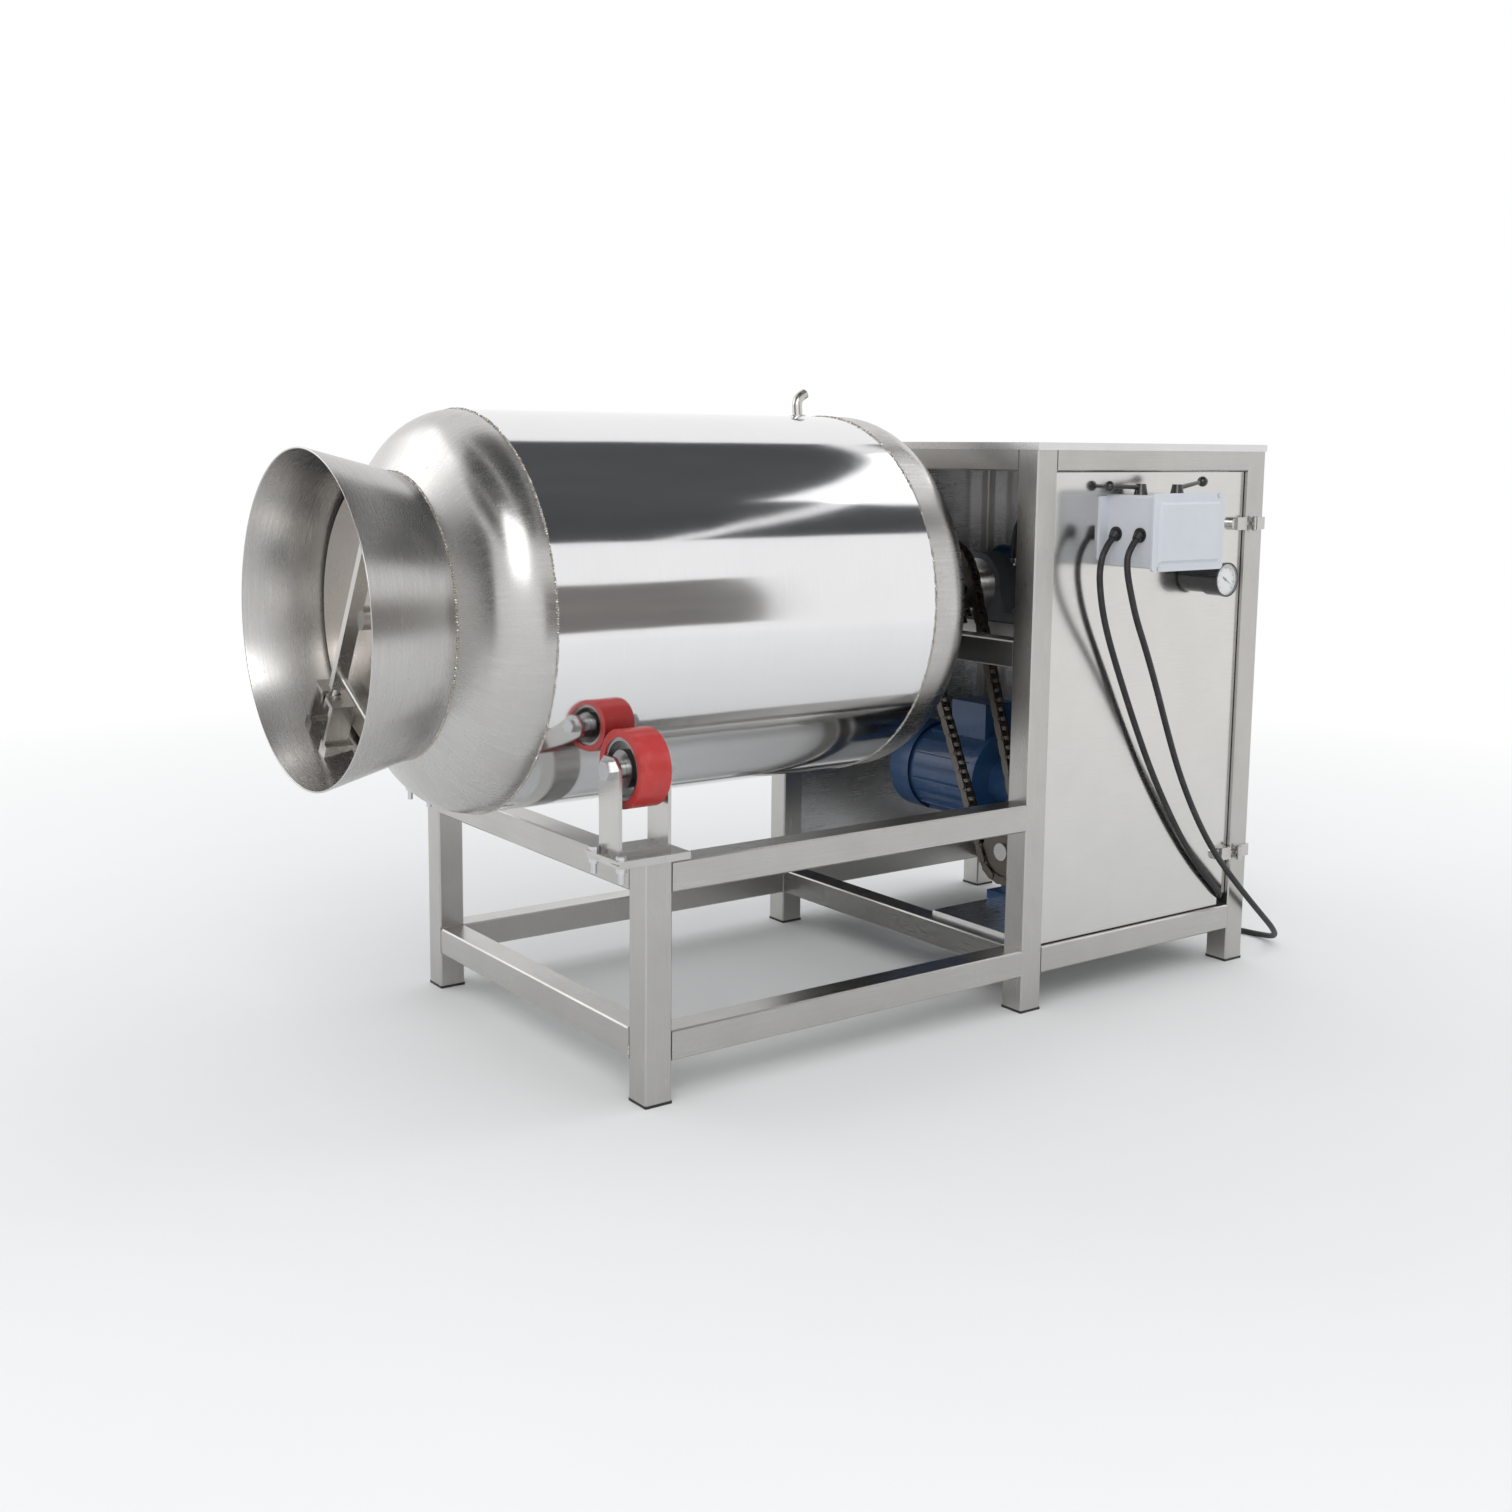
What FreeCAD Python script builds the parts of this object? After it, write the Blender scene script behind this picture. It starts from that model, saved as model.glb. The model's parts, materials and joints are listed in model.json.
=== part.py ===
"""Meat vacuum tumbler: a mirror-polished drum on two rollers, driven by chain from a cabinet.

Millimetres. The model is laid out in machine coordinates: X = 0 on the drum's axis with +X towards
the door side, Y = 0 on the front legs' front face with the drum's mouth towards -Y, Z = 0 on the
floor. Every solid is then moved so that the origin is the centre of the machine's footprint.
"""
import FreeCAD, Part
import math
import os
from FreeCAD import Matrix, Placement, Rotation, Vector

# ---------------------------------------------------------------- frame of square tube
TUBE = 50.0                 # square tube, outside
TUBE_WALL = 2.0
TUBE_CHAMFER = 2.5          # worn corner of the tube
FRAME_W = 780.0             # over the legs, X
FRONT_BAY = 825.0           # front legs' face to the cabinet posts' face, Y
CABINET_L = 635.0           # cabinet over its posts, Y
CABINET_H = 1050.0          # floor to the top of the top rails
LOWER_RAIL_Z = 70.0         # underside of the lower rails
UPPER_RAIL_Z = 345.0        # underside of the rails that carry the rollers
BEARING_RAIL_Z = 642.0      # underside of the rails that carry the shaft
REAR_BEARING_Y = 1080.0     # middle of the rear bearing rail
PLUG_FLANGE = 5.0           # black end plug under each leg
PLUG_STEM = 18.0
PLUG_GAP = 0.3
SHEET = 1.5                 # cabinet sheet
TOP_LIP = 12.0              # folded edge of the top sheet
PANEL_RECESS = 10.0         # panels sit this far behind the posts' faces
PANEL_RETURN = 20.0         # folded edge of the panels
PANEL_GAP = 2.0             # gap round a panel in its opening
SHELF_SHEET = 3.0
BASE_PLATE = 6.0            # plate under the gear unit
BASE_PLATE_W = 240.0
BASE_PLATE_LAP = 10.0       # plate's front edge on its rail

# ---------------------------------------------------------------- drum
AXIS_Z = 762.0              # drum axis above the floor
DRUM_R = 335.0
DRUM_WALL = 3.0
SHELL_START = -122.0        # front seam, Y
SHELL_L = 762.0
FRONT_KNUCKLE = 100.0       # bend radius of the front head
FRONT_TURN = 60.0           # degrees of that bend
NECK_R = 233.0
COLLAR_L = 6.0              # straight start of the mouth, inside the front head
MOUTH_L = 155.0
RIM_R = 272.0
REAR_FLANGE = 38.0          # straight edge of the rear head
REAR_KNUCKLE = 70.0
REAR_TURN = 75.0
BAFFLES = 3
BAFFLE_H = 90.0
BAFFLE_T = 3.0
BAFFLE_LIP = 25.0
BAFFLE_INSET = 25.0         # baffle ends short of the seams

# ---------------------------------------------------------------- lid and its clamp
SEAT_H = 18.0               # seat ring in front of the neck
SEAT_R = 208.0              # bore of the seat ring
SEAT_T = 6.0
GASKET_T = 6.0
GASKET_W = 16.0
LID_R = 224.0
LID_T = 3.0
LID_DOME = 10.0
BAR_ANGLE = 60.0            # clamp bar against the horizontal
BAR_STAND_OFF = 46.0        # bar's middle in front of the lid's rim
BAR_T = 14.0                # bar across its width
BAR_D = 24.0                # bar along Y
BAR_LOW = 138.0             # bar's lower end from the axis
BAR_HIGH = 237.0            # bar's upper end from the axis
BOSS_R = 20.0
BOSS_BORE = 8.0             # hole in the lid under the boss
LUG_T = 8.0
LUG_W = 62.0
LUG_LOW_R = 150.0           # yoke plate's inner face from the axis
YOKE_R = 234.0              # ends of the yoke's arms from the axis
LID_PASS = 2.0              # room round the lid as it passes the lugs
SADDLE_GAP = 0.5
SEAT_GAP = 0.3              # between faces of two bodies that bear on each other
STUD_R = 6.0
STUD_CLEAR = 1.0
NUT_R = 11.0
NUT_H = 14.0
WING_R = 27.0               # tip of a wing from the stud's axis
WING_T = 6.0
WING_H = 41.0               # tip of a wing above the nut's foot
STUD_PAST = 26.0            # stud past the nut
TOMMY_R = 4.0
TOMMY_L = 150.0

# ---------------------------------------------------------------- vacuum port on the drum
PORT_R = 9.5
PORT_WALL = 1.5
PORT_FROM_SEAM = 28.0
PORT_ANGLE = 6.0            # degrees towards -X from the top
PORT_RISE = 22.0
PORT_BEND_R = 22.0
PORT_BEND = 62.0
PORT_TAIL = 9.0
PORT_COLLAR_R = 15.0
PORT_COLLAR_H = 4.0

# ---------------------------------------------------------------- rollers
ROLLER_R = 63.2
ROLLER_W = 55.0
ROLLER_Y = 18.0             # middle of the rollers
ROLLER_X = 330.0            # roller axis from the drum's axis
TREAD_T = 13.0
CORE_W = 50.0
CORE_WEB = 16.0
CORE_RIM = 6.0
AXLE_R = 10.0
RUN_FIT = 0.05              # radial clearance of a turning fit
BEARING_OD_R = 23.5
BEARING_W = 14.0
HUB_WALL = 7.0
FORK_W = 60.0               # fork cheek along X
FORK_T = 6.0
FORK_SPAN = 97.0            # over the cheeks, Y
FORK_ABOVE = 22.0           # cheek above the axle
SPACER_R = 15.0
PLATE_T = 6.0
PLATE_X = (290.0, 390.0)    # roller plates, from the axis
PLATE_Y = (-48.0, 84.0)
PLATE_EDGE = 9.0            # bolt centres from the plate's edges
PLATE_BOLT_R = 5.0
BOLT_HOLE_GAP = 0.5
HEX_HEAD = 0.85             # hex head's half width across corners over the shank's diameter

# ---------------------------------------------------------------- shaft, bearings, sprockets, chain
SHAFT_R = 30.0
SHAFT_BORE = 12.5
HUB_PLATE_R = 95.0
HUB_PLATE_T = 14.0
HUB_R = 48.0
HUB_END = 812.0
SHAFT_END = 1145.0
BLOCK_L = 240.0             # pillow block along X
BLOCK_W = 50.0
BLOCK_FOOT = 18.0
BLOCK_RING = 68.0           # outside radius over the insert
INSERT_R = 55.0
BLOCK_BOLT_X = 95.0
BLOCK_BOLT_R = 7.0
CHAIN_Y = 962.0             # middle plane of the chain
PITCH = 19.05
CHAIN_ROLLER_R = 5.95
CHAIN_INNER_W = 12.6        # between the inner plates
CHAIN_PLATE_T = 2.4
CHAIN_PLATE_H = 17.6
DRIVEN_TEETH = 30
DRIVE_TEETH = 19
DRIVEN_SEATED = 16          # rollers that lie on the driven sprocket
DRIVE_SEATED = 10
STRAND_PITCHES = 29
SEAT_CLEAR = 0.2
TOOTH_W = 11.2
DRIVEN_HUB_R = 50.0
DRIVE_HUB_R = 36.0
SPROCKET_HUB_L = 24.0

# ---------------------------------------------------------------- gear unit and motor
GEAR_Y = 1085.0             # worm axis
GEAR_HEIGHT = 126.0         # output axis above the base plate
GEAR_CENTRES = 110.0        # worm axis above the output axis
GEAR_CASE_R = 104.0
GEAR_CASE_W = 130.0
GEAR_FACE = 75.0            # output boss from the worm axis plane
WORM_R = 52.0
FOOT_T = 18.0
OUT_R = 17.5
MOTOR_R = 96.0
MOTOR_L = 200.0
MOTOR_FLANGE_T = 14.0
FAN_COVER_L = 62.0
FIN_H = 7.0
FINS = 20
TERMINAL_BOX = (100.0, 92.0, 62.0)

# ---------------------------------------------------------------- vacuum set
UNION_R = 26.0
UNION_L = 60.0
PUMP_Y = 1300.0
PUMP_R = 62.0
PUMP_SINK = 6.0             # pump motor's round body is let this far into its foot
PUMP_CASE = (150.0, 126.0, 150.0)
PUMP_MOTOR_L = 170.0
HOSE_R = 11.0
FILTER_R = 34.0

# ---------------------------------------------------------------- door and what it carries
HINGE_X = 400.0
HINGE_Y = 1424.0
HINGE_R = 6.5
HINGE_PIN_R = 3.0
HINGE_H = 25.0
HINGE_ZS = (230.0, 897.0)   # middles of the two hinges
LEAF_T = 3.0
STRAP_L = 56.0
STRAP_DOME_R = 10.0
CABLE_NOTCH = 22.0
SWITCH_Y = 1014.0           # near side of the switch boxes
SWITCH_W = 186.0
SWITCH_Z = 826.0
SWITCH_H = 131.0
SWITCH_D = 57.0             # one box, X
SWITCH_FLANGE_T = 6.0
SWITCH_FLANGE_OUT = 20.0
COVER_T = 10.0
COVER_LIP = 5.0
COVER_INSET = 20.0
COVER_CORNER = 8.0
LEVER_Y = (1076.0, 1109.0)
LEVER_L = 78.0
LEVER_TURN = (-94.5, 94.5)  # from +X, about +Z
LEVER_HUB_R = 13.0
LEVER_HUB_H = 20.0
LEVER_ARM_R = 4.5
LEVER_TIP_R = 3.6
LEVER_RISE = (2.0, 11.0)
SPINDLE_R = 5.0
SPINDLE_H = 10.0
BALL_R = 9.8
GROMMET_R = 13.5
GROMMET_L = 8.0
GROMMET_LIP = 3.0
GROMMET_DROP = 8.0          # the boot's end lies this far in front of the lip and below its middle
GLAND_H = 60.0              # grommets above the underside of the switch boxes
COVER_SCREW_R = 4.0
COVER_SCREW_H = 2.5
COVER_SCREW_INSET = 13.0
CABLE_R = 6.0
GAUGE_Y = 1284.0
GAUGE_Z = 794.0
GAUGE_R = 33.0
GAUGE_NECK_R = 28.0
GAUGE_NECK_L = 30.0
GAUGE_L = 70.0
GAUGE_LENS_T = 2.0
POINTER_L = 20.0
POINTER_TILT = -32.0        # degrees below +Y at rest

# ---------------------------------------------------------------- cord on the floor
COIL_CENTRE = (40.0, 1572.0)
COIL_MEAN_R = 66.0
COIL_W = 24.0
COIL_H = 36.0
COIL_FLOOR = 0.1            # coil and plug lie this far above the floor
PLUG_R = 22.0
PLUG_BODY_L = 68.0
PLUG_RELIEF_L = 30.0
PLUG_STUB_L = 30.0
PLUG_PIN_R = 2.4
PLUG_PIN_L = 19.0

# ---------------------------------------------------------------- worked-out places
HALF_W = FRAME_W / 2
POST_IN = HALF_W - TUBE
CAB_FRONT = FRONT_BAY
CAB_REAR = FRONT_BAY + CABINET_L
RAIL_TOP = UPPER_RAIL_Z + TUBE
SHAFT_RAIL_TOP = BEARING_RAIL_Z + TUBE
SHELL_END = SHELL_START + SHELL_L
PANEL_X = HALF_W - PANEL_RECESS
SWITCH_X = (PANEL_X, PANEL_X + SWITCH_D)
COVER_X = PANEL_X + 2 * SWITCH_D
COVER_FACE_X = COVER_X + COVER_T
FRONT_SWEEP = math.radians(FRONT_TURN)
HEAD_RUN = (DRUM_R - FRONT_KNUCKLE * (1 - math.cos(FRONT_SWEEP)) - NECK_R) / math.sin(
    math.radians(FRONT_TURN))
NECK_Y = SHELL_START - FRONT_KNUCKLE * math.sin(FRONT_SWEEP) - HEAD_RUN * math.cos(FRONT_SWEEP)
RIM_Y = NECK_Y - MOUTH_L
LID_Y = NECK_Y - SEAT_H - GASKET_T
BAR_Y = LID_Y - BAR_STAND_OFF
ROLLER_Z = AXIS_Z - math.sqrt((DRUM_R + ROLLER_R + SEAT_GAP) ** 2 - ROLLER_X ** 2)
FORK_BASE = RAIL_TOP + 2 * PLATE_T
DRIVE_Z = LOWER_RAIL_Z + TUBE + BASE_PLATE + GEAR_HEIGHT
WORM_Z = DRIVE_Z + GEAR_CENTRES
ORIGIN = Vector((COVER_FACE_X - HALF_W - SHEET) / 2, (RIM_Y + CAB_REAR + LEAF_T) / 2, 0)

X, Y, Z = Vector(1, 0, 0), Vector(0, 1, 0), Vector(0, 0, 1)


# ================================================================ shape helpers
def box(x, y, z):
    """A block between three pairs of limits."""
    return Part.makeBox(x[1] - x[0], y[1] - y[0], z[1] - z[0], Vector(x[0], y[0], z[0]))


def rod(radius, start, direction, length):
    """A cylinder from a point along a direction."""
    return Part.makeCylinder(radius, length, start, direction)


def ring(outer, inner, start, direction, length):
    """A round sleeve."""
    return rod(outer, start, direction, length).cut(rod(inner, start, direction, length))


def prism(points, direction):
    """A closed polygon of points, pushed along a vector."""
    return Part.Face(Part.makePolygon(list(points) + [points[0]])).extrude(direction)


def hexagon(radius, start, direction, height):
    """A hexagonal head or nut."""
    shape = prism([Vector(radius * math.cos(a), radius * math.sin(a), 0)
                   for a in (math.radians(60 * i) for i in range(6))], Vector(0, 0, height))
    return shape.transformGeometry(Placement(start, Rotation(Z, direction)).toMatrix())


def turned(edges, axis_point, axis):
    """A full turn of a closed outline about an axis."""
    return Part.Face(Part.Wire(edges)).revolve(axis_point, axis, 360)


def outline(points):
    """Straight edges through points, closed."""
    loop = list(points) + [points[0]]
    return [Part.LineSegment(a, b).toShape() for a, b in zip(loop, loop[1:])]


def mirrored(shape):
    """The same shape on the other side of the drum's axis."""
    return shape.mirror(Vector(0, 0, 0), X)


def both_sides(*shapes):
    """Shapes and their mirror images."""
    return [s for shape in shapes for s in (shape, mirrored(shape))]


def bolt(radius, top, direction, length, head):
    """A hex-headed bolt: its head stands on the start point, its shank runs along the direction."""
    reach = Vector(direction).normalize()
    return hexagon(radius * 2 * HEX_HEAD, top - reach * head, reach, head).fuse(
        rod(radius, top, reach, length))


def nut(radius, start, direction):
    """A hex nut on a bolt of this radius."""
    return hexagon(radius * 2 * HEX_HEAD, start, direction, radius * 1.6).cut(
        rod(radius, start, direction, radius * 1.6))


def square_tube(axis, low, high, a, b):
    """Square tube along axis 'x', 'y' or 'z' from low to high; a, b are its other two lower corners."""
    c, t, w = TUBE_CHAMFER, TUBE, TUBE_WALL
    outside = [(c, 0), (t - c, 0), (t, c), (t, t - c), (t - c, t), (c, t), (0, t - c), (0, c)]
    inside = [(w, w), (t - w, w), (t - w, t - w), (w, t - w)]
    place = {"x": lambda u, v: Vector(low, a + u, b + v),
             "y": lambda u, v: Vector(a + u, low, b + v),
             "z": lambda u, v: Vector(a + u, b + v, low)}[axis]
    along = {"x": X, "y": Y, "z": Z}[axis] * (high - low)
    return prism([place(*p) for p in outside], along).cut(prism([place(*p) for p in inside], along))


def cord(points, radius, name):
    """A tube of straight runs joined by tangent arcs, each as large as its two runs allow."""
    pts = [Vector(*p) for p in points]
    edges, start, radii = [], pts[0], []
    for before, here, after in zip(pts, pts[1:], pts[2:]):
        back, ahead = before - here, after - here
        shorter = min(back.Length, ahead.Length)
        back.normalize()
        ahead.normalize()
        half_turn = (math.pi - back.getAngle(ahead)) / 2
        reach = 0.45 * shorter
        bend = reach / math.tan(half_turn)
        radii.append(bend)
        first, last = here + back * reach, here + ahead * reach
        inward = (back + ahead).normalize()
        middle = here + inward * (bend / math.cos(half_turn) - bend)
        edges.append(Part.LineSegment(start, first).toShape())
        edges.append(Part.Arc(first, middle, last).toShape())
        start = last
    edges.append(Part.LineSegment(start, pts[-1]).toShape())
    path = Part.Wire(edges)
    section = Part.Wire(Part.makeCircle(radius, pts[0], pts[1] - pts[0]))
    tube = path.makePipeShell([section], True, True)
    share = tube.Volume / (math.pi * radius ** 2 * path.Length)
    print(f"{name}: length {path.Length:.0f}, volume share {share:.4f}, radii",
          " ".join(f"{r:.0f}" for r in radii))
    return tube


# ================================================================ frame
def leg_corners():
    """Lower corners of the six legs: (x, y) of each."""
    return [(x, y) for y in (0.0, CAB_FRONT, CAB_REAR - TUBE) for x in (POST_IN, -HALF_W)]


def legs(y, top):
    """A pair of upright tubes on their plugs."""
    return [square_tube("z", PLUG_FLANGE, top, x, y) for x in (POST_IN, -HALF_W)]


def cross_rail(y, z, half=POST_IN):
    """A rail along X."""
    return square_tube("x", -half, half, y, z)


def side_rails(y0, y1, z, x=POST_IN):
    """A pair of rails along Y."""
    return [square_tube("y", y0, y1, x, z), square_tube("y", y0, y1, -x - TUBE, z)]


def base_rails():
    """Rails near the floor under the whole frame, and those that carry the rollers."""
    low = [cross_rail(y, LOWER_RAIL_Z) for y in (0.0, CAB_FRONT, CAB_REAR - TUBE)]
    low += side_rails(TUBE, CAB_FRONT, LOWER_RAIL_Z)
    low += side_rails(CAB_FRONT + TUBE, CAB_REAR - TUBE, LOWER_RAIL_Z)
    return low + [cross_rail(0.0, UPPER_RAIL_Z)] + side_rails(TUBE, CAB_FRONT, UPPER_RAIL_Z)


def foot_plugs():
    """Black plugs with a stem inside each leg."""
    solids = []
    for x, y in leg_corners():
        flange = box((x, x + TUBE), (y, y + TUBE), (0, PLUG_FLANGE))
        inset = TUBE_WALL + PLUG_GAP
        stem = box((x + inset, x + TUBE - inset), (y + inset, y + TUBE - inset),
                   (PLUG_FLANGE, PLUG_FLANGE + PLUG_STEM))
        solids.append(flange.fuse(stem))
    return solids


def bearing_rails():
    """Rails that carry the shaft, drilled for the pillow blocks' bolts."""
    front = cross_rail(CAB_FRONT, BEARING_RAIL_Z)
    rear_y = REAR_BEARING_Y - TUBE / 2
    rear = cross_rail(rear_y, BEARING_RAIL_Z, POST_IN - TUBE)
    back = cross_rail(CAB_REAR - TUBE, BEARING_RAIL_Z)
    for x in (-BLOCK_BOLT_X, BLOCK_BOLT_X):
        for y in (CAB_FRONT + TUBE / 2, REAR_BEARING_Y):
            hole = rod(BLOCK_BOLT_R + BOLT_HOLE_GAP, Vector(x, y, BEARING_RAIL_Z), Z, TUBE)
            front, rear = front.cut(hole), rear.cut(hole)
    return [front, rear, back] + side_rails(CAB_FRONT + TUBE, CAB_REAR - TUBE, BEARING_RAIL_Z,
                                            POST_IN - TUBE)


def top_sheet():
    """Sheet over the cabinet with a folded lip outside the top rails."""
    out = SHEET
    outer = box((-HALF_W - out, HALF_W + out), (CAB_FRONT - out, CAB_REAR + out),
                (CABINET_H - TOP_LIP, CABINET_H + out))
    return outer.cut(box((-HALF_W, HALF_W), (CAB_FRONT, CAB_REAR), (CABINET_H - TOP_LIP, CABINET_H)))


def tray(x, y, z, open_side):
    """A sheet panel with folded edges, open towards open_side (a unit vector)."""
    solid = box(x, y, z)
    grow = [list(x), list(y), list(z)]
    for axis, towards in enumerate((open_side.x, open_side.y, open_side.z)):
        grow[axis][0] += 0 if towards < 0 else SHEET
        grow[axis][1] -= 0 if towards > 0 else SHEET
    return solid.cut(box(*grow))


def panel_limits():
    """Y and Z limits of a side panel in its opening."""
    return ((CAB_FRONT + TUBE + PANEL_GAP, CAB_REAR - TUBE - PANEL_GAP),
            (LOWER_RAIL_Z + TUBE + PANEL_GAP, CABINET_H - TUBE - PANEL_GAP))


def left_panel():
    """Fixed panel on the side away from the door, seated against its opening."""
    y = (CAB_FRONT + TUBE, CAB_REAR - TUBE)
    z = (LOWER_RAIL_Z + TUBE, CABINET_H - TUBE)
    return tray((-PANEL_X, -PANEL_X + PANEL_RETURN), y, z, X)


def rear_panels():
    """Fixed panels at the back, above and below the rear bearing rail."""
    y = (CAB_REAR - PANEL_RECESS - PANEL_RETURN, CAB_REAR - PANEL_RECESS)
    z = (SHAFT_RAIL_TOP, CABINET_H - TUBE)
    lower = (LOWER_RAIL_Z + TUBE, BEARING_RAIL_Z)
    return [tray((-POST_IN, POST_IN), y, level, Y * -1) for level in (z, lower)]


def base_plate():
    """Plate on the lower rails under the gear unit."""
    return box((POST_IN - BASE_PLATE_W, POST_IN),
               (CAB_FRONT + TUBE - BASE_PLATE_LAP, CAB_REAR - PANEL_RECESS - PANEL_RETURN - PANEL_GAP),
               (LOWER_RAIL_Z + TUBE, LOWER_RAIL_Z + TUBE + BASE_PLATE))


def shelf():
    """Shelf for the vacuum pump, on the side rails behind the rear bearing."""
    return box((-POST_IN, POST_IN), (REAR_BEARING_Y + TUBE / 2 + PANEL_GAP, CAB_REAR - TUBE),
               (SHAFT_RAIL_TOP, SHAFT_RAIL_TOP + SHELF_SHEET))


# ================================================================ drum
def at(y, r):
    """A point of the drum's outline in its upper half plane."""
    return Vector(0, y, AXIS_Z + r)


def around_axis(edges):
    """A full turn about the drum's axis."""
    return turned(edges, Vector(0, 0, AXIS_Z), Y)


def drum_shell():
    """Rolled cylinder."""
    return ring(DRUM_R, DRUM_R - DRUM_WALL, Vector(0, SHELL_START, AXIS_Z), Y, SHELL_L)


def knuckle(y, centre_r, radius, sweep, sign):
    """Start, middle and end points of a head's bend; sign -1 turns to the front, +1 to the rear."""
    return [at(y + sign * radius * math.sin(a), centre_r + radius * math.cos(a))
            for a in (0, sweep / 2, sweep)]


def front_head():
    """Front head: a bend and a cone down to the neck, all of one wall."""
    centre = DRUM_R - FRONT_KNUCKLE
    outer = knuckle(SHELL_START, centre, FRONT_KNUCKLE, FRONT_SWEEP, -1)
    inner = knuckle(SHELL_START, centre, FRONT_KNUCKLE - DRUM_WALL, FRONT_SWEEP, -1)
    neck_out = at(NECK_Y, NECK_R)
    fall = (inner[2].z - AXIS_Z - NECK_R) / math.tan(FRONT_SWEEP)
    neck_in = at(inner[2].y - fall, NECK_R)
    return around_axis([Part.Arc(*outer).toShape(),
                        Part.LineSegment(outer[2], neck_out).toShape(),
                        Part.LineSegment(neck_out, neck_in).toShape(),
                        Part.LineSegment(neck_in, inner[2]).toShape(),
                        Part.Arc(*reversed(inner)).toShape(),
                        Part.LineSegment(inner[0], outer[0]).toShape()])


def rear_crown(wall):
    """Knuckle points, crown height and crown middle of the rear head, this far inside the outside."""
    start = SHELL_END + REAR_FLANGE
    sweep = math.radians(REAR_TURN)
    bend = knuckle(start, DRUM_R - REAR_KNUCKLE, REAR_KNUCKLE - wall, sweep, 1)
    lip_r = bend[2].z - AXIS_Z
    crown_r = lip_r / math.cos(sweep)
    centre_y = bend[2].y - crown_r * math.sin(sweep)
    middle = (math.pi / 2 + sweep) / 2
    crown = [bend[2], at(centre_y + crown_r * math.sin(middle), crown_r * math.cos(middle)),
             at(centre_y + crown_r, 0)]
    return bend, crown


def rear_crown_y(radius):
    """Y of the rear head's outside at this distance from the axis."""
    crown = rear_crown(0)[1]
    sweep = math.radians(REAR_TURN)
    crown_r = (crown[0].z - AXIS_Z) / math.cos(sweep)
    centre_y = crown[2].y - crown_r
    return centre_y + math.sqrt(crown_r ** 2 - radius ** 2)


def rear_head():
    """Rear head: straight edge, bend and a shallow crown with the hole for the hub."""
    bend, crown = rear_crown(0)
    bend_in, crown_in = rear_crown(DRUM_WALL)
    edges = [Part.LineSegment(at(SHELL_END, DRUM_R), bend[0]).toShape(),
             Part.Arc(*bend).toShape(), Part.Arc(*crown).toShape(),
             Part.LineSegment(crown[2], crown_in[2]).toShape(),
             Part.Arc(*reversed(crown_in)).toShape(), Part.Arc(*reversed(bend_in)).toShape(),
             Part.LineSegment(bend_in[0], at(SHELL_END, DRUM_R - DRUM_WALL)).toShape(),
             Part.LineSegment(at(SHELL_END, DRUM_R - DRUM_WALL), at(SHELL_END, DRUM_R)).toShape()]
    return around_axis(edges).cut(rod(HUB_R, Vector(0, SHELL_END, AXIS_Z), Y, SHELL_L))


def cone_inside(y):
    """Inside radius of the mouth at this Y."""
    return NECK_R - DRUM_WALL + (NECK_Y - y) * (RIM_R - NECK_R) / MOUTH_L


def mouth_cone():
    """Flared mouth with a straight collar through the front head."""
    inner_rim = RIM_R - DRUM_WALL
    return around_axis(outline([at(NECK_Y + COLLAR_L, NECK_R), at(NECK_Y, NECK_R), at(RIM_Y, RIM_R),
                                at(RIM_Y, inner_rim), at(NECK_Y, NECK_R - DRUM_WALL),
                                at(NECK_Y + COLLAR_L, NECK_R - DRUM_WALL)]))


def seat_ring():
    """Ring in the neck that the lid's gasket presses on."""
    outer = NECK_R - DRUM_WALL
    return around_axis(outline([at(NECK_Y + COLLAR_L, outer), at(NECK_Y, outer),
                                at(NECK_Y, SEAT_R + SEAT_T), at(NECK_Y - SEAT_H, SEAT_R + SEAT_T),
                                at(NECK_Y - SEAT_H, SEAT_R), at(NECK_Y + COLLAR_L, SEAT_R)]))


def baffles():
    """Paddles inside the shell, each with a folded lip."""
    edge = math.sqrt((DRUM_R - DRUM_WALL) ** 2 - (BAFFLE_T / 2) ** 2)
    top = edge - BAFFLE_H
    start, length = SHELL_START + BAFFLE_INSET, SHELL_L - 2 * BAFFLE_INSET
    blade = box((-BAFFLE_T / 2, BAFFLE_T / 2), (start, start + length), (top, edge))
    lip = box((BAFFLE_T / 2, BAFFLE_T / 2 + BAFFLE_LIP), (start, start + length),
              (top, top + BAFFLE_T))
    paddle = blade.fuse(lip).removeSplitter()
    solids = []
    for i in range(BAFFLES):
        turn = Placement(Vector(0, 0, 0), Rotation(Y, 360.0 * i / BAFFLES + 45))
        solids.append(paddle.copy().transformGeometry(
            Placement(Vector(0, 0, AXIS_Z), turn.Rotation).toMatrix()))
    return solids


def port_place():
    """Foot of the vacuum port on the shell, and its radial direction."""
    a = math.radians(PORT_ANGLE)
    radial = Vector(-math.sin(a), 0, math.cos(a))
    return Vector(0, SHELL_END - PORT_FROM_SEAM, AXIS_Z) + radial * DRUM_R, radial


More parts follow.
